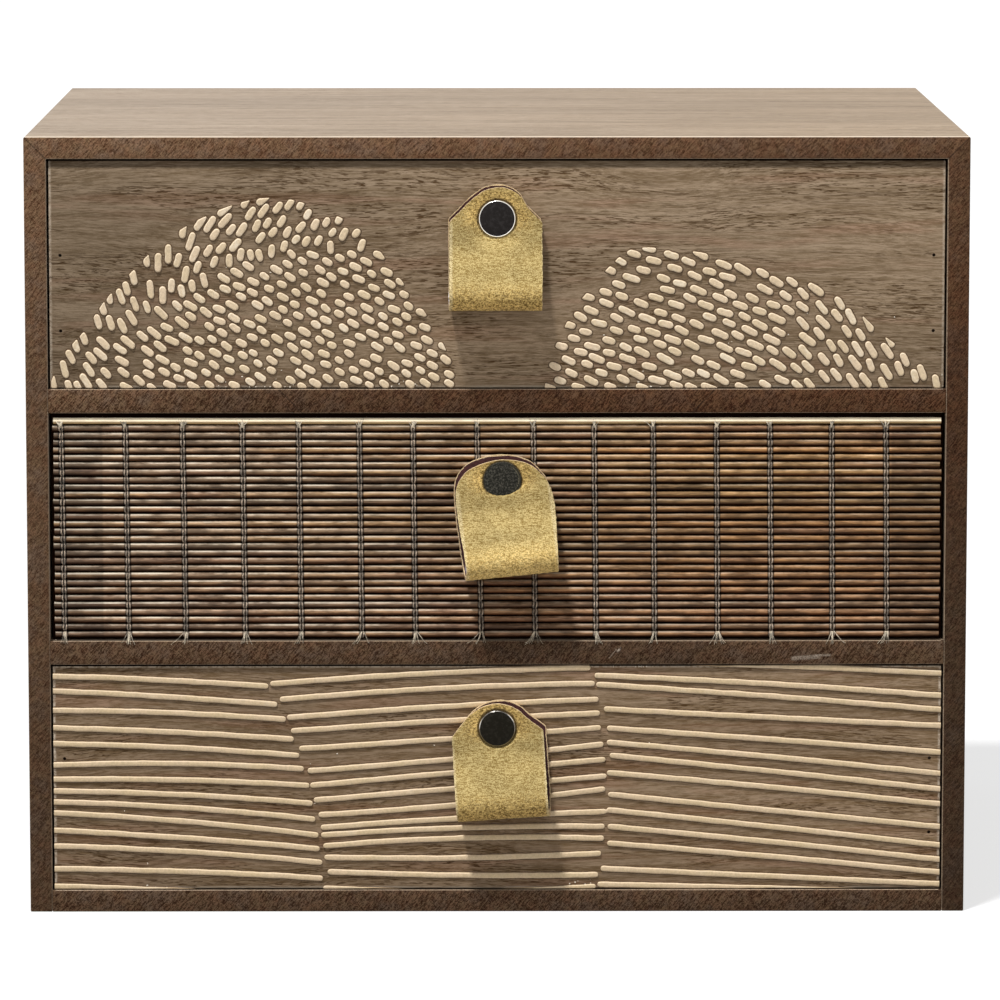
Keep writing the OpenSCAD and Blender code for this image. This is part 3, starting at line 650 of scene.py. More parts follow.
def bright_rim_material(name, stud, arcs):
    """Bare metal at the head's rim, with painted highlights in arcs given as the angle of the middle and the
    half width, and darker brown along its lower half."""
    g = Surface(name, 0.28, Metallic=1.0)
    dx, dz = g.x - stud[0], g.z - stud[2]
    bare = g.noise(1.4, 3).between(0.35, 0.7, (0.14, 0.125, 0.11), (0.3, 0.28, 0.25))
    colour = dz.between(-3.2, 2.0, (0.12, 0.09, 0.04), bare)
    # Each arc is a painted highlight on the rim.
    for degrees, half_width in arcs:
        cos, sin = cos_sin(degrees)
        bright = ((dx * cos + dz * sin) * 0.2).step(cos_sin(half_width)[0], 0.97, 0, 0.95)
        colour = g.mix(bright, colour, (0.95, 0.92, 0.86))
    return g.finish(colour)


# ---------------------------------------------------------------- camera, lamps and floor

KEY_POWER, KEY_WIDTH, KEY_WAY = 4.2, math.radians(6), (0.2, 0.31, -0.93)
PANELS = (("left_panel", (-0.6, -1.3, 0.9), 2.45), ("right_panel", (0.6, -1.2, 1.0), 1.8))
PANEL_SIZE, PANEL_TARGET = 0.9, Vector((0, 0, 0.1))
AMBIENT = 0.335
FLOOR_REACH = 30000.0
FLOOR_GLOW = 0.7


def make_camera():
    """A long lens, a little left of the middle and looking slightly down, as in the photograph."""
    data = bpy.data.cameras.new("camera")
    data.lens = 224.5
    data.sensor_width = 36.0
    data.clip_start, data.clip_end = 0.05, 60.0
    camera = add_object("camera", data)
    camera.location = (-7.5 * MM, -1778.5 * MM, 332.3 * MM)
    camera.rotation_euler = (math.radians(90 - 7.44), 0, math.radians(-0.283))
    bpy.context.scene.camera = camera


def add_lamp(name, kind, power, way):
    data = bpy.data.lights.new(name, kind)
    data.energy = power
    lamp = add_object(name, data)
    lamp.rotation_euler = Vector(way).to_track_quat("-Z", "Y").to_euler()
    return lamp


def make_lamps():
    add_lamp("key", "SUN", KEY_POWER, KEY_WAY).data.angle = KEY_WIDTH
    for name, place, power in PANELS:
        lamp = add_lamp(name, "AREA", power, PANEL_TARGET - Vector(place))
        lamp.data.size = PANEL_SIZE
        lamp.location = place


def make_world():
    """Even light from all round, and a white background."""
    world = bpy.data.worlds.new("studio")
    bpy.context.scene.world = world
    world.use_nodes = True
    g = Graph(world.node_tree)
    back = g.tree.nodes["Background"].inputs
    fill(back["Color"], WHITE)
    fill(back["Strength"], g.node("ShaderNodeMapRange", {"Value": g.seen_as_background(), "To Min": AMBIENT,
                                                         "To Max": 1.0}))


def make_floor():
    """Pale floor that looks white but keeps the shadow, and sends little light back up."""
    g = Surface("floor", 0.9, 0.0, Emission_Color=WHITE)
    seen = g.seen_as_background()
    g.set("Base Color", g.mix(seen, (0.4, 0.39, 0.375), (0.25, 0.25, 0.25)))
    g.set("Emission Strength", seen * FLOOR_GLOW)
    corners = [(x * FLOOR_REACH, y * FLOOR_REACH, 0.0) for x, y in ((-1, -1), (1, -1), (1, 1), (-1, 1))]
    floor = make_object("floor", corners, [(0, 1, 2, 3)], [g.material], smooth=False)


# ---------------------------------------------------------------- boards


MERGE = 0.002  # points nearer than this are one
LONG_EDGE, SHARP = 3.0, math.radians(30)  # edges longer and sharper than this are eased


def on_mitre(middle):
    """True for an edge on the plane where the top and a side meet."""
    return abs((CASE_HALF_W - abs(middle.x)) - (CASE_TOP - middle.z)) < 0.05


def finished(node, material, radius=0.35, corners=()):
    """A board with its long edges eased, in place of a CAD node. corners are edges along Y that are
    shared with another board, given as (x, z, side), and are rounded by cuts that both boards share."""
    bm = bmesh.new()
    bm.from_mesh(frame["nodes"][node].data)
    bmesh.ops.scale(bm, vec=(1 / MM,) * 3, verts=bm.verts)
    bmesh.ops.remove_doubles(bm, verts=bm.verts, dist=MERGE)
    bmesh.ops.dissolve_limit(bm, angle_limit=math.radians(1), verts=bm.verts, edges=bm.edges)
    long_edges = [
        e for e in bm.edges
        if len(e.link_faces) == 2 and e.calc_length() > LONG_EDGE
        and e.calc_face_angle_signed(0.0) > SHARP
        and not (corners and on_mitre((e.verts[0].co + e.verts[1].co) / 2))
    ]
    bmesh.ops.bevel(bm, geom=long_edges, offset=radius, offset_type="OFFSET", segments=3, profile=0.5,
                    affect="EDGES", clamp_overlap=False)
    for x, z, side in corners:
        ease = 2.0 * radius
        centre = Vector((x - side * ease, 0, z - ease))
        for degrees in (22.5, 45.0, 67.5):
            cos, sin = cos_sin(degrees)
            out = Vector((side * cos, 0, sin))
            cut = bmesh.ops.bisect_plane(bm, geom=bm.verts[:] + bm.edges[:] + bm.faces[:], dist=1e-4,
                                         plane_co=centre + out * ease, plane_no=out, clear_outer=True)
            rim = [e for e in cut["geom_cut"] if isinstance(e, bmesh.types.BMEdge) and e.is_boundary]
            if rim:
                bmesh.ops.contextual_create(bm, geom=rim)
    bmesh.ops.recalc_face_normals(bm, faces=bm.faces)
    bmesh.ops.scale(bm, vec=(MM,) * 3, verts=bm.verts)
    mesh = bpy.data.meshes.new(f"{node}_finished")
    bm.to_mesh(mesh)
    bm.free()
    mesh.materials.clear()
    piece = mesh_object(mesh, [material])
    smooth_by_angle(piece, 32)
    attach(piece, frame["nodes"][node]["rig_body"])
    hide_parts(node)
    return piece


# Scratches on the shelves' front edges: x, z, degrees, length, width, strength
SHELF_MARKS = ((31.4, 71.2, 50.0, 3.6, 0.16, 0.5), (33.0, 72.2, 44.0, 1.6, 0.4, 0.95),
               (32.6, 72.3, -28.0, 1.9, 0.14, 0.6), (33.6, 72.9, -70.0, 1.1, 0.14, 0.7),
               (84.0, 70.2, 4.0, 8.5, 0.8, 0.6), (88.5, 70.8, 2.0, 5.0, 0.45, 0.5))


def make_case():
    flat = case_wood("case_wood_flat", "X", "top")
    upright = case_wood("case_wood_upright", "Z", "side", 37.0, rub=0.35)
    shelf_wood = case_wood("shelf_wood", "X", "shelf", 91.0, rub=0.85, marks=SHELF_MARKS)
    left, right = ((side * CASE_HALF_W, CASE_TOP, side) for side in (-1, 1))
    for node, material, corners in (("case_top", flat, (right, left)), ("case_left_side", upright, (left,)),
                                    ("case_right_side", upright, (right,))):
        finished(node, material, corners=corners)
    for node in ("case_bottom", "upper_shelf", "lower_shelf"):
        finished(node, shelf_wood, 0.3)


def make_drawer_boxes():
    colours = (0.34, 0.26, 0.18), (0.25, 0.185, 0.125)
    side_wood = plain_wood("drawer_side_wood", "Y", *colours, 12.0)
    back_wood = plain_wood("drawer_back_wood", "X", *colours, 77.0)
    fronts = {
        "top": front_wood("top_front_wood", "top", (0.292, 0.216, 0.145), (0.15, 0.102, 0.058)),
        "middle": mat_backing("mat_backing"),
        "bottom": front_wood("bottom_front_wood", "bottom", (0.262, 0.187, 0.122), (0.13, 0.082, 0.041),
                             offset=140.0, rub=0.9),
    }
    for tier in TIERS:
        finished(f"{tier}_drawer_front", fronts[tier])
        for name, wood in (("left_side", side_wood), ("right_side", side_wood), ("back", back_wood)):
            finished(f"{tier}_drawer_{name}", wood, 0.4)
        dress(f"{tier}_drawer_bottom", side_wood)


def dress(node, material):
    """Gives a CAD node that stays as it is its material."""
    piece = frame["nodes"][node]
    piece.data.materials.clear()
    piece.data.materials.append(material)


# ---------------------------------------------------------------- raised decoration


def front_loops(node):
    """Outline (x, z) of each raised shape of a node, from the faces of its front plane."""
    bm = bmesh.new()
    bm.from_mesh(frame["nodes"][node].data)
    bmesh.ops.remove_doubles(bm, verts=bm.verts, dist=MERGE * MM)
    front = min(v.co.y for v in bm.verts)
    flat = {f for f in bm.faces if all(v.co.y - front < 0.01 * MM for v in f.verts)}
    following = {}
    for face in flat:
        for loop in face.loops:
            if not any(other in flat for other in loop.edge.link_faces if other != face):
                following[loop.vert.index] = loop.link_loop_next.vert.index
    places = {v.index: (v.co.x / MM, v.co.z / MM) for v in bm.verts}
    bm.free()
    loops = []
    while following:
        loop, at = [], min(following)
        while at in following:
            loop.append(places[at])
            at = following.pop(at)
        loops.append(np.array(loop))
    return loops


def even_loop(loop, step):
    """The same closed outline with evenly spaced points, its corners slightly eased."""
    closed = np.vstack([loop, loop[:1]])
    run = np.concatenate([[0.0], np.cumsum(np.linalg.norm(np.diff(closed, axis=0), axis=1))])
    count = max(12, int(run[-1] / step))
    at = np.linspace(0, run[-1], count, endpoint=False)
    points = np.column_stack([np.interp(at, run, closed[:, k]) for k in (0, 1)])
    return 0.5 * points + 0.25 * (np.roll(points, 1, axis=0) + np.roll(points, -1, axis=0))


RELIEF_H = 0.42
DASH_STEP = 0.34
LINE_STEP = 0.55
SWELL = 1.09  # how much wider than the solids the paint lies

# Profile of a raised dash from its foot, coloured as painted shade, to its flat top: how far in towards
# its middle line, and its share of the full height
DASH_PROFILE = ((-0.34, -0.1), (-0.34, 0.05), (-0.04, 0.12), (0.02, 0.4), (0.11, 0.7), (0.22, 0.92),
                (0.36, 0.99), (0.6, 1.0))

# Left half of a raised line's cross-section: share of its half width, share of its height
LINE_HALF = ((-1.36, -0.1), (-1.36, 0.05), (-1.04, 0.12), (-0.97, 0.4), (-0.87, 0.7),
             (-0.7, 0.93), (-0.4, 1.0))
LINE_PROFILE = LINE_HALF + tuple((-across, share) for across, share in LINE_HALF[::-1])


def add_dash(parts, loop, face_y):
    """One raised dash, with a slightly uneven outline and top."""
    points = even_loop(loop, DASH_STEP)
    middle = points.mean(axis=0)
    spread = points - middle
    axis = np.linalg.svd(spread, full_matrices=False)[2][0]
    reach = np.abs(spread @ axis).max()
    half_w = np.abs(spread @ np.array((-axis[1], axis[0]))).max()
    along = np.clip(spread @ axis, -(reach - half_w) if reach > half_w else 0.0, max(reach - half_w, 0.0))
    core = middle + along[:, None] * axis
    uneven = np.array([fractal((x, 3.0, z), 1.3) for x, z in points])
    swell = SWELL + 0.09 * fractal((middle[0], 50.0, middle[1]), 2.0)
    height = RELIEF_H * (1.0 + 0.15 * fractal((middle[0], 9.0, middle[1]), 3.0))
    verts = []
    for inward, share in DASH_PROFILE:
        ring = core + (points - core) * ((1.0 - inward) * (swell + 0.12 * uneven))[:, None]
        for k, (x, z) in enumerate(ring):
            verts.append((x, face_y - share * height * (1.0 + 0.1 * uneven[k] * (share > 0.7)), z))
    parts.add(verts, ring_faces(len(DASH_PROFILE), len(points), flip=True))


def add_line(parts, loop, face_y):
    """One raised line, sliced across its length."""
    closed = np.vstack([loop, loop[:1]])
    low, high = loop[:, 0].min(), loop[:, 0].max()
    eased = np.linspace(0.0, 1.0, max(6, int((high - low) / LINE_STEP)))
    places = low + (high - low) * (0.02 / (high - low) + (1 - 0.04 / (high - low)) * eased)
    near_tips = np.array((0.02, 0.1, 0.22, 0.38))
    places = np.unique(np.concatenate([places, low + near_tips, high - near_tips]))
    places = places[(places > low) & (places < high)]
    verts = []
    for x in places:
        cuts = [a[1] + (x - a[0]) / (b[0] - a[0]) * (b[1] - a[1])
                for a, b in zip(closed[:-1], closed[1:]) if (a[0] - x) * (b[0] - x) < 0]
        bottom, top = min(cuts), max(cuts)
        half = (top - bottom) / 2 * (SWELL + 0.1 * fractal((x, 0.0, top), 3.5))
        middle = (top + bottom) / 2 + 0.1 * fractal((x, 20.0, top * 0.2), 6.0)
        height = RELIEF_H * min(1.0, (half / 0.5) ** 0.5) * (1.0 + 0.1 * fractal((x, 40.0, top), 3.0))
        verts += [(x, face_y - share * height, middle + across * half) for across, share in LINE_PROFILE]
    parts.add(verts, ring_faces(len(places), len(LINE_PROFILE)))


def make_relief(node, tier, add_shape, material):
    """Hand-drawn looking paint beads in place of a node's flat raised shapes."""
    parts = Parts()
    for loop in front_loops(node):
        if len(loop) > 2:
            add_shape(parts, loop, FACE_Y[tier])
    piece = parts.make(node.replace("relief", "beads"), material)
    smooth_by_angle(piece, 50, turn_out=True)
    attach(piece, f"{tier}_drawer")
    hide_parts(node)


def crumb(rng, centre, size):
    """A small rough chip of paint."""
    bm = bmesh.new()
    bmesh.ops.create_icosphere(bm, subdivisions=1, radius=1.0)
    scale = size * rng.uniform(0.5, 1.0, 3)
    scale[1] = min(scale[1], 0.12)
    verts = [np.array(centre) + np.array(v.co) * scale * rng.uniform(0.7, 1.2) for v in bm.verts]
    faces = [tuple(v.index for v in f.verts) for f in bm.faces]
    bm.free()
    return verts, faces


def make_crumbs(tier, spots, material):
    """Chips of cream paint scattered on a drawer front: (x, z, number, spread)."""
    rng = np.random.default_rng(SEED + TIERS.index(tier))
    low, high = box_mm(f"{tier}_drawer_front")
    chips = Parts()
    for x, z, number, spread in spots:
        for _ in range(number):
            px = np.clip(x + rng.normal(0, spread), low[0] + 0.5, high[0] - 0.5)
            pz = np.clip(low[2] + z + rng.normal(0, spread * 0.3), low[2] + 0.3, high[2] - 0.3)
            chips.add(*crumb(rng, (px, FACE_Y[tier] - 0.03, pz), rng.uniform(0.15, 0.38)))
    piece = chips.make(f"{tier}_paint_crumbs", material)
    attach(piece, f"{tier}_drawer")


def make_decoration():
    dash_paint = relief_paint("dash_paint", "top", (0.63, 0.494, 0.32), (0.68, 0.532, 0.366), 0.55)
    line_paint = relief_paint("line_paint", "bottom", (0.558, 0.426, 0.258), (0.585, 0.446, 0.288), 0.2)
    for node in ("left_dash_relief", "right_dash_relief"):
        make_relief(node, "top", add_dash, dash_paint)
    make_relief("line_relief", "bottom", add_line, line_paint)
    chips = speckled("paint_chips", (2.4,), (0.35, 0.65), ((0.5, 0.42, 0.32), (0.8, 0.74, 0.64)), (0.05, 0.5),
                     roughness=0.7, specular=0.2)
    make_crumbs("top", ((-62.0, 0.6, 22, 9.0), (-75.0, 25.0, 8, 25.0), (70.0, 18.0, 8, 22.0),
                        (-24.0, 1.0, 8, 3.0), (40.0, 0.8, 8, 8.0)), chips)
    make_crumbs("bottom", ((23.0, 0.6, 26, 2.6), (-50.0, 30.0, 8, 30.0), (60.0, 30.0, 8, 30.0),
                           (-100.0, 0.8, 6, 12.0), (38.5, 200.0, 9, 2.8)), chips)


# ---------------------------------------------------------------- stick mat

STICK_PITCH = 2.0
STICK_SIDES, STICK_RING_STEP = 14, 2.0
TOP_STICK_OUT = 0.3
STRAND_R, STRAND_APART = 0.2, 0.4

# One turn of a strand round a stick: height in half pitches, depth, how far the pair is open
STRAND_TURN = ((-1.0, 1.3, 0.6), (-0.62, 0.32, 0.85), (-0.28, -0.1, 1.0), (0.3, -0.13, 1.0),
               (0.62, 0.3, 0.85))


def make_sticks():
    """Thirty reeds, each a little crooked, with paler cut ends. Gives back their heights and the mat's
    front."""
    low, high = box_mm("mat_sticks")
    diameter = high[1] - low[1]
    count = round((high[2] - low[2]) / STICK_PITCH)
    pitch = (high[2] - low[2] - diameter) / (count - 1)
    heights = [low[2] + diameter / 2 + i * pitch for i in range(count)]
    rng = np.random.default_rng(SEED)
    sticks = Parts()
    for i, z in enumerate(heights):
        start, end = low[0] + rng.uniform(0, 0.5), high[0] - rng.uniform(0, 0.5)
        rings = int((end - start) / STICK_RING_STEP) + 1
        thick = 0.5 * diameter * rng.uniform(0.83, 0.92)
        middle = (low[1] + high[1]) / 2 - (TOP_STICK_OUT if i == count - 1 else 0.0)
        verts = []
        for k in range(rings):
            x = start + (end - start) * k / (rings - 1)
            crook = 0.13 * fractal((x, i * 31.0, 0), 55.0)
            radius = thick * (1 + 0.045 * fractal((x, i * 17.0, 5.0), 9.0))
            verts += [(x, middle + radius * sin, z + crook + radius * cos)
                      for cos, sin in circle(STICK_SIDES)]
        faces = ring_faces(rings, STICK_SIDES)
        sticks.add(verts, faces, [0] * (len(faces) - 2) + [1, 1])
    lacquer = stick_material("stick_lacquer", low[2] + (diameter - pitch) / 2, pitch, count, thread_columns())
    cut = speckled("stick_ends", (3.0,), (0.3, 0.7), ((0.25, 0.19, 0.12), (0.6, 0.5, 0.37)),
                   roughness=0.8, specular=0.2)
    piece = sticks.make("reed_sticks", lacquer, cut)
    smooth_by_angle(piece, 50)
    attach(piece, "middle_drawer")
    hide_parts("mat_sticks")
    return heights, low[1]


def thread_columns():
    """Middle of each thread column in the frame, with how far the thread lies beside it at the bottom
    and how much further at the top."""
    points = np.array([v.co for v in frame["nodes"]["mat_threads"].data.vertices])[:, 0] / MM
    middles, group = [], []
    for x in np.sort(points):
        if group and x - group[-1] > 4.0:
            middles.append((group[0] + group[-1]) / 2)
            group = []
        group.append(x)
    middles.append((group[0] + group[-1]) / 2)
    near_strap = sorted(middles, key=abs)[:2]
    leans = {min(near_strap): (1.33, -1.3), max(near_strap): (0.95, -0.6)}
    return [(float(x), leans.get(x, (0.05, -0.65))) for x in middles]


def make_threads(heights, front):
    """Pairs of strands that dive between the sticks, with frayed ends at the top and the bottom."""
    rng = np.random.default_rng(SEED + 7)
    half = (heights[1] - heights[0]) / 2
    cords, ends = Parts(), Parts()
    for column, (start, lean) in thread_columns():
        for side in (-1, 1):
            path = []
            for i, z in enumerate(heights[:-1]):
                slant = rng.uniform(-0.07, 0.12)
                x = column + start + lean * i / len(heights) + rng.uniform(-0.08, 0.08)
                path += [(x + side * STRAND_APART * apart + slant * rise, front + depth, z + rise * half)
                         for rise, depth, apart in STRAND_TURN]
            cords.add(*tube(curve_through(path, 2), STRAND_R, 6))
        add_frayed_ends(ends, rng, column + start, lean, heights, front, 2 * half)
    grey = thread_material("thread_twist", (0.19, 0.13, 0.085), (0.6, 0.475, 0.35))
    pale = thread_material("thread_ends", (0.45, 0.35, 0.22), (0.88, 0.79, 0.63))
    piece = cords.make("mat_thread_pairs", grey)
    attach(piece, "middle_drawer")
    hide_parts("mat_threads")
    tufts = ends.make("mat_thread_ends", pale)
    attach(tufts, "middle_drawer")


def add_frayed_ends(ends, rng, column, lean, heights, front, pitch):
    """Loose fibres over the lowest stick and the shelf's edge, and short ones on the top stick."""

    def fibre(path, radius):
        smooth_path = curve_through(path, 3)
        ends.add(*tube(smooth_path, radius, 5, np.linspace(1.0, 0.5, len(smooth_path))))

    edge = heights[0] - 0.82 * pitch
    sweep = rng.uniform(-1.6, 0.7)
    for _ in range(rng.integers(5, 9)):
        spread = rng.normal(0, 0.85)
        reach = rng.uniform(0.1, 0.75)
        fibre([
            (column + spread * 0.2, front - 0.1, heights[0] + pitch * 0.4),
            (column + spread * 0.5 + sweep * 0.2, front - 0.35, heights[0]),
            (column + spread + sweep * 0.5, front - 1.0, edge + 0.35),
            (column + 1.3 * spread + sweep * 0.8, front - 1.08, edge - 0.3),
            (column + 1.6 * spread + sweep, front - rng.uniform(1.0, 1.2), edge - 0.3 - reach),
        ], rng.uniform(0.06, 0.11))
    top = column + lean
    for _ in range(rng.integers(7, 11)):
        spread = rng.normal(0, 0.55)
        fibre([
            (top + spread * 0.2, front - 0.05, heights[-2] + pitch * 0.1),
            (top + spread * 0.7, front - 0.2, heights[-1] - pitch * 0.4),
            (top + spread * 1.2, front - 0.16, heights[-1] - pitch * 0.1),
            (top + spread * 1.7, front - 0.02, heights[-1] + pitch * rng.uniform(0.0, 0.3)),
        ], rng.uniform(0.1, 0.17))


# ---------------------------------------------------------------- pulls

STRAP_W = 25.0
STRAP_T = 1.2
STRAP_DROP = 25.0
STRAP_COLUMNS = 56
FOLD_R = 4.0
LAYER_GAP = 0.1
FOLD_LEAN = math.radians(25)
CLAMP_DROP = 5.5
CURVE_PULL = 5.0
HEAD_CLEAR = 5.1
EDGE_FUZZ = 0.18
TIP_HALF_W = 0.9
PILE, FOLD_PILE = 0.035, 0.08  # how uneven the nap stands, and how much more so on the fold
PRESSED, PRESSED_R = 0.12, 4.8  # how deep the stud's head presses the nap, and how far out
BOW, SERRATION = 0.3, 0.15  # how far the front layer bows out, and how rough its cut edges are
REAR_POINTS, FOLD_POINTS, CURVE_POINTS, FRONT_POINTS = 75, 36, 40, 36  # along the strap's middle line
# Where the rear layer ends and the front one starts, as shares of the strap's run
REAR_ENDS, FRONT_STARTS = (0.36, 0.6), (0.62, 0.72)
HEAD_SUNK, HEAD_T = 0.45, 1.3
HOLE_R, POST_R = 2.1, 1.9
HOLE_DEPTH = 16.0
STUD_SIDES = 96
RIM_ROWS = range(4, 9)  # the rows of the stud's profile that are its bright rim
NAP, BACK, CUT = range(3)  # the strap's material slots

# Each pull. turn: degrees about the stud. sag, shift, longer: how much lower and further right it hangs,
# and how much longer its loop is. rear: how the rear layer lies against the front one, to the right, up
# and in degrees. rise: how high the nap stands below the stud. tone: how light the nap is. fold and
# fold_tone: how far the fold is darkened, and how light it is painted there as painted light against
# its shade. lift: how much lighter the nap is just below the stud, painted light against the head's
# shadow. ring: how dark the painted shadow ring round the head stays at its lower side. end: the upper end
# from the right shoulder over the top to the left one, as share of half width and height.
PULLS = {
    "top": {
        "turn": 0.0, "sag": 0.0, "shift": -0.35, "longer": 0.0, "rear": (-0.3, 0.75, 0.0), "rise": 0.78,
        "tone": 0.93, "fold": 1.0, "fold_tone": 1.06, "lift": 0.5, "ring": 0.1,
        "end": ((1, -1), (0.72, 2.4), (0.53, 6), (0.26, 8), (0, 8.3), (-0.24, 7.5), (-0.4, 6.2), (-0.59, 4.2),
                (-1, -1)),
    },
    "middle": {
        "turn": 7.0, "sag": 0.8, "shift": 0.0, "longer": 0.7, "rear": (-0.05, 1.3, -3.2), "rise": 1.25,
        "tone": 1.0, "fold": 0.5, "fold_tone": 1.28, "lift": 0.0, "ring": 0.0,
        "end": ((1, -21), (1.02, -17), (1.05, -12), (1.06, -7), (1.01, -2.5), (0.89, 0.6), (0.66, 3.8),
                (0.38, 5.5), (0.05, 6.3), (-0.28, 6.1), (-0.55, 5.3), (-0.75, 4.2), (-0.92, 2.1),
                (-1.02, -0.3), (-1.06, -4), (-1.05, -11), (-1.02, -16), (-1, -21)),
    },
    "bottom": {
        "turn": 3.5, "sag": 0.0, "shift": 0.0, "longer": 0.0, "rear": (0.75, 0.8, 0.6), "rise": 0.78,
        "tone": 0.9, "fold": 1.0, "fold_tone": 0.95, "lift": 0.1, "ring": 0.3,
        "end": ((1, -1.4), (0.67, 2.1), (0.49, 4.4), (0.26, 6), (0, 6.6), (-0.26, 6.1), (-0.5, 4.6),
                (-0.7, 2.4), (-1, -2)),
    },
}


def strap_path(end_height, drop):
    """Middle line of the strap in its own side view: out from the front, up."""
    rear, front = STRAP_T / 2, 1.5 * STRAP_T + LAYER_GAP
    centre = np.array((rear + FOLD_R, -drop + FOLD_R + STRAP_T / 2))
    points = [(rear, z) for z in np.linspace(end_height, centre[1] + 0.4, REAR_POINTS)]
    angles = np.linspace(math.pi, 2 * math.pi + FOLD_LEAN, FOLD_POINTS)
    points += [tuple(centre + FOLD_R * np.array((math.cos(a), math.sin(a)))) for a in angles]
    start = np.array(points[-1])
    end = np.array((front, -CLAMP_DROP))
    pull_a = start + CURVE_PULL * np.array((-math.sin(FOLD_LEAN), math.cos(FOLD_LEAN)))
    pull_b = end - CURVE_PULL * np.array((0.0, 1.0))
    for t in np.linspace(0, 1, CURVE_POINTS)[1:]:
        points.append(tuple((1 - t)**3 * start + 3 * t * (1 - t)**2 * pull_a
                            + 3 * t * t * (1 - t) * pull_b + t**3 * end))
    points += [(front, z) for z in np.linspace(-CLAMP_DROP, end_height, FRONT_POINTS)[1:]]
    return np.array(points)


def strap_sides(tier):
    """The strap's outline, and its left and right edge at a row of heights."""
    outline = curve_through([(share * STRAP_W / 2, up) for share, up in PULLS[tier]["end"]], 8)
    peak = int(outline[:, 1].argmax())
    heights = np.linspace(-STRAP_DROP - 2, outline[peak, 1], 260)
    halves = (outline[peak:][::-1], -STRAP_W / 2), (outline[:peak + 1], STRAP_W / 2)
    left, right = (np.interp(heights, half[:, 1], half[:, 0], left=square) for half, square in halves)
    return outline, (heights, left, right)


def edges_at(sides, up):
    heights, left, right = sides
    return np.interp(up, heights, left), np.interp(up, heights, right)


def strap_point(tier, path, sides, i, across, outside):
    """A point of the strap's surface in the pull's own view: right, out, up."""
    pull = PULLS[tier]
    out, up = path[i]
    step = path[min(i + 1, len(path) - 1)] - path[max(i - 1, 0)]
    normal = np.array((-step[1], step[0])) / np.linalg.norm(step)
    rear_share = 1.0 - ramp(i / (len(path) - 1), *REAR_ENDS)
    front_share = ramp(i / (len(path) - 1), *FRONT_STARTS)
    left, right = edges_at(sides, up)
    x = (left + right) / 2 + across * max((right - left) / 2, TIP_HALF_W)
    number = TIERS.index(tier)
    serrate = fractal((x, up, 10.0 * outside + 40.0 * number), 0.7, 3)
    pile = 0.0
    if outside:
        fold_share = ramp(up, -14.0, -24.0)
        pile = (PILE + FOLD_PILE * fold_share) * fractal((x * 0.9, up * 1.5, number * 9.0), 0.7, 3)
        stud_up = up - pull["sag"]
        pile -= front_share * PRESSED * math.exp(-((math.hypot(x, stud_up) / PRESSED_R) ** 6))
        clear = math.hypot(x, stud_up * (1.38 if tier == "middle" and stud_up < 0 else 1.0))
        beside_stud = ramp(clear, HEAD_CLEAR, HEAD_CLEAR + 0.5) * ramp(-stud_up - 0.3 * x, -1.5, 2.5)
        pile += front_share * pull["rise"] * beside_stud * (1 - across**2) * ramp(up, -22.0, -14.0)
    offset = (STRAP_T / 2 + pile) * (-1 if outside else 1)
    bow = BOW * (1 - across**2) * ramp(-up, 10.0, 17.0) * front_share
    edge = SERRATION * serrate * abs(across) ** 8 * np.sign(across)
    out, up = out + normal[0] * offset + bow, up + normal[1] * offset - pull["sag"]
    shift_x, shift_up, turn = pull["rear"]
    angle = math.radians(turn) * rear_share
    x, up = x * math.cos(angle) - up * math.sin(angle), x * math.sin(angle) + up * math.cos(angle)
    return x + edge + pull["shift"] + shift_x * rear_share, out, up + shift_up * rear_share


def make_strap(tier, nap, back, cut):
    """The folded strap: an outer and an inner skin, closed along the cut edges."""
    outline, sides = strap_sides(tier)
    path = strap_path(sides[0][-1], STRAP_DROP + PULLS[tier]["longer"])
    # fine columns towards the edges, where the outline shows
    bunch = math.pi / 2 * 0.92
    spread = np.sin(np.linspace(-bunch, bunch, STRAP_COLUMNS + 1)) / math.sin(bunch)
    stud = STUD[tier]
    base = stud[1] - box_mm(f"{tier}_pull_strap")[1][1]
    cos, sin = cos_sin(PULLS[tier]["turn"])
    rows, width = len(path), STRAP_COLUMNS + 1
    verts = []
    for outside in (True, False):
        for i in range(rows):
            for across in spread:
                x, out, up = strap_point(tier, path, sides, i, across, outside)
                verts.append((stud[0] + x * cos - up * sin, stud[1] - base - out,
                              stud[2] + x * sin + up * cos))
    faces, slots = [], []
    inner = rows * width
    for i in range(rows - 1):
        up = path[i][1]
        left, right = edges_at(sides, up)
        for k in range(STRAP_COLUMNS):
            a = i * width + k
            faces.append((a, a + width, a + width + 1, a + 1))
            faces.append((inner + a, inner + a + 1, inner + a + width + 1, inner + a + width))
            x = (left + right) / 2 + (spread[k] + spread[k + 1]) / 2 * (right - left) / 2
            reach = min(x - left, right - x, float(np.hypot(outline[:, 0] - x, outline[:, 1] - up).min()))
            slots += [NAP, CUT if reach < EDGE_FUZZ else BACK]
        for a, b in ((i * width, (i + 1) * width), ((i + 1) * width - 1, (i + 2) * width - 1)):
            faces.append((a, inner + a, inner + b, b) if a % width == 0 else (a, b, inner + b, inner + a))
            slots.append(CUT)
    for row in (0, rows - 1):
        for a in range(row * width, row * width + STRAP_COLUMNS):
            faces.append((a, a + 1, inner + a + 1, inner + a) if row == 0
                         else (a, inner + a, inner + a + 1, a + 1))
            slots.append(CUT)
    piece = make_object(f"{tier}_suede_pull", verts, faces, [nap, back, cut], slots)
    punch_hole(piece, tier)
    smooth_by_angle(piece, 55)
    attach(piece, f"{tier}_pull")
    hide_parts(f"{tier}_pull_strap")


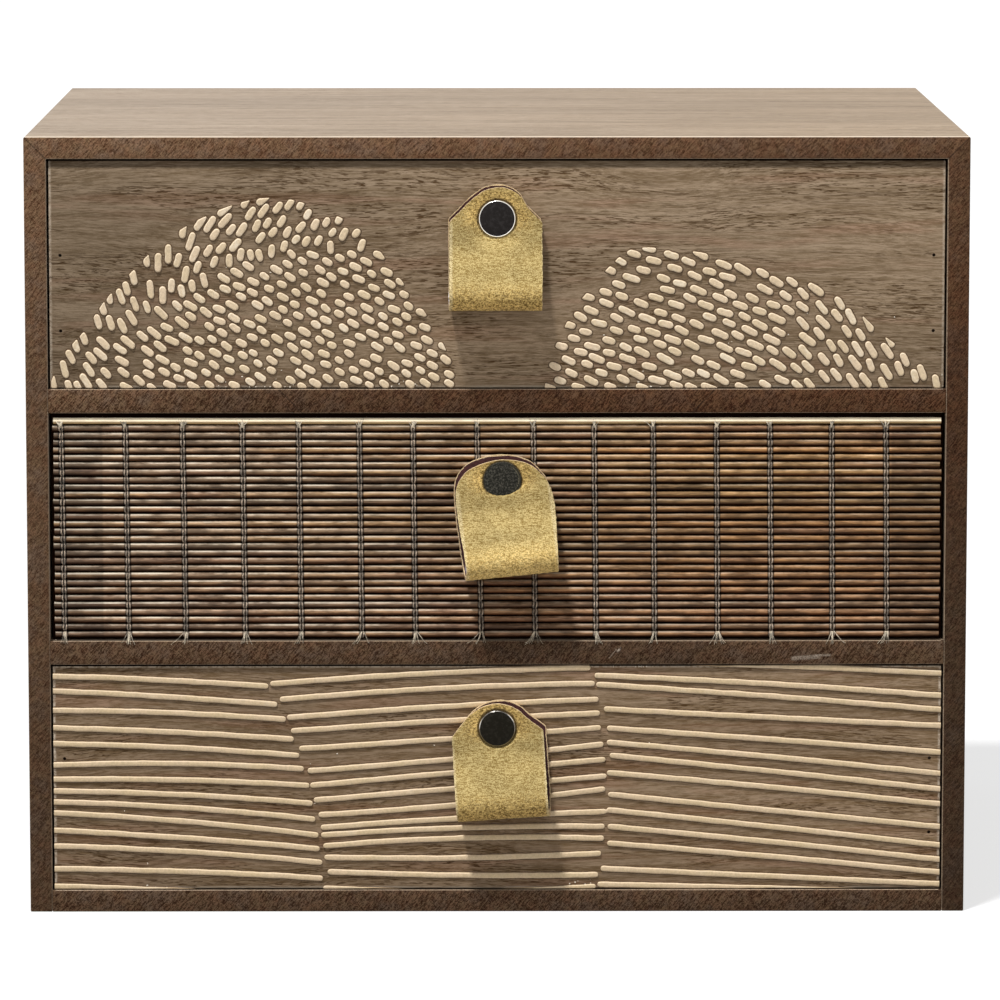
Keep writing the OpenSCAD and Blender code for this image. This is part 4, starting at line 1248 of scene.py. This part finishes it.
def punch_hole(piece, tier):
    """Hole through both layers for the stud's post."""
    bpy.ops.mesh.primitive_cylinder_add(vertices=32, radius=HOLE_R * MM, depth=HOLE_DEPTH * MM,
                                        location=[v * MM for v in STUD[tier]], rotation=(math.pi / 2, 0, 0))
    cutter = bpy.context.object
    boolean = piece.modifiers.new("hole", "BOOLEAN")
    boolean.object = cutter
    boolean.operation = "DIFFERENCE"
    boolean.solver = "EXACT"
    bpy.context.view_layer.update()
    cut_mesh = bpy.data.meshes.new_from_object(piece.evaluated_get(bpy.context.evaluated_depsgraph_get()))
    piece.modifiers.clear()
    piece.data = cut_mesh
    bpy.data.objects.remove(cutter)


def head_shape(tier, cos, sin):
    """Share of the head's radius in a direction: the middle head is a little larger, with a worn outline."""
    return 1.035 + 0.02 * fractal((4 * cos, 4 * sin, 3.0), 1.6) if tier == "middle" else 1.0


def make_stud(tier, face, rim):
    """Stud: a flat black head with a thin bright rim, a post and a riveted tail."""
    low, high = box_mm(f"{tier}_pull_stud")
    head_r = (high[0] - low[0]) / 2
    stud = STUD[tier]
    front, tail = stud[1] - low[1] - HEAD_SUNK, stud[1] - high[1]
    under = front - (HEAD_T - HEAD_SUNK)
    profile = [(0.0, front), (head_r * 0.5, front), (head_r - 0.7, front - 0.02),
               (head_r - 0.42, front - 0.12), (head_r - 0.3, front - 0.12),
               (head_r - 0.18, front - 0.06), (head_r - 0.08, front - 0.14),
               (head_r, front - 0.4), (head_r, under + 0.15), (head_r - 0.2, under),
               (POST_R, under), (POST_R, tail + 0.3), (POST_R, tail), (0.0, tail)]
    verts = []
    for base_radius, out in profile:
        for cos, sin in circle(STUD_SIDES):
            radius = base_radius * (head_shape(tier, cos, sin) if base_radius > POST_R else 1.0)
            verts.append((stud[0] + radius * cos, stud[1] - out, stud[2] + radius * sin))
    slots = [int(i in RIM_ROWS) for i in range(len(profile) - 1) for _ in range(STUD_SIDES)]
    faces = ring_faces(len(profile), STUD_SIDES, flip=True, caps=False)
    piece = make_object(f"{tier}_stud", verts, faces, [face, rim], slots)
    smooth_by_angle(piece, 40, turn_out=True, merge=1e-6)
    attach(piece, f"{tier}_drawer")
    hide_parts(f"{tier}_pull_stud")


def make_pulls():
    glints = [(STUD[tier][0] + x, STUD[tier][2] + z)
              for tier, x, z in (("top", -12.5, -21.5), ("middle", -9.0, -24.0))]
    # the leather's maroon finished side, with a whitish shine where it starts to fold
    back = speckled("strap_back", (1.6, 4, 0.6), (0.3, 0.7), ((0.022, 0.006, 0.006), (0.055, 0.017, 0.017)),
                    (0.12, 0.6), glints, (0.8, 0.74, 0.8), roughness=0.6, specular=0.2)
    cut = speckled("strap_cut_edge", (2.4, 3, 0.7), (0.35, 0.65), ((0.42, 0.29, 0.15), (0.7, 0.54, 0.34)),
                   (0.15, 0.8), glints, (0.85, 0.8, 0.82), roughness=0.85, specular=0.1)
    x, _, z = STUD["middle"]
    faces = {
        "top": stud_material("stud_face_top", (0.0135, 0.0112, 0.0105), (0.028, 0.025, 0.024)),
        "middle": stud_material("stud_face_middle", (0.0125, 0.012, 0.009), (0.095, 0.088, 0.07), 2.0,
                                (x + 0.6, z + 0.3)),
        "bottom": stud_material("stud_face_bottom", (0.0068, 0.0054, 0.0026), (0.017, 0.0145, 0.01)),
    }
    rims = {
        "top": bright_rim_material("stud_rim_top", STUD["top"], ((100, 14), (172, 26), (12, 30))),
        "middle": stud_material("stud_rim_middle", (0.02, 0.018, 0.012), (0.1, 0.09, 0.07), 2.4),
        "bottom": bright_rim_material("stud_rim_bottom", STUD["bottom"], ((38, 26), (165, 24))),
    }
    for tier in TIERS:
        make_strap(tier, nap_material(f"{tier}_nap", tier), back, cut)
        make_stud(tier, faces[tier], rims[tier])


# ---------------------------------------------------------------- the scene


def make_hidden_parts():
    """The solids that stay as they are: brads, stud caps and the back panel."""
    steel = speckled("brad_steel", ((6.0, 0.8, 6.0), 3), (0.3, 0.7), ((0.3, 0.3, 0.31), (0.55, 0.55, 0.56)),
                     (0.02, 0.5), roughness=0.35, Metallic=1.0)
    # heads sunk below the surface, coloured nearly black
    near_black_heads = speckled("drawer_brad_heads", (2.5,), (0.35, 0.65),
                         ((0.01, 0.007, 0.005), (0.03, 0.019, 0.013)), (0.03, 0.5),
                         roughness=0.75, specular=0.05, Metallic=0.3)
    for tier in TIERS:
        dress(f"{tier}_drawer_brads", near_black_heads)
        dress(f"{tier}_stud_cap", steel)
    dress("case_brads", steel)
    dress("back_brads", steel)
    dress("back_panel", plain_wood("back_panel_wood", "Z", (0.3, 0.225, 0.155), (0.225, 0.165, 0.11), 51.0))


make_camera()
make_lamps()
make_world()
make_floor()
make_case()
make_drawer_boxes()
make_decoration()
make_threads(*make_sticks())
make_pulls()
make_hidden_parts()

bpy.context.scene.view_settings.view_transform = "Standard"

bpy.context.view_layer.update()
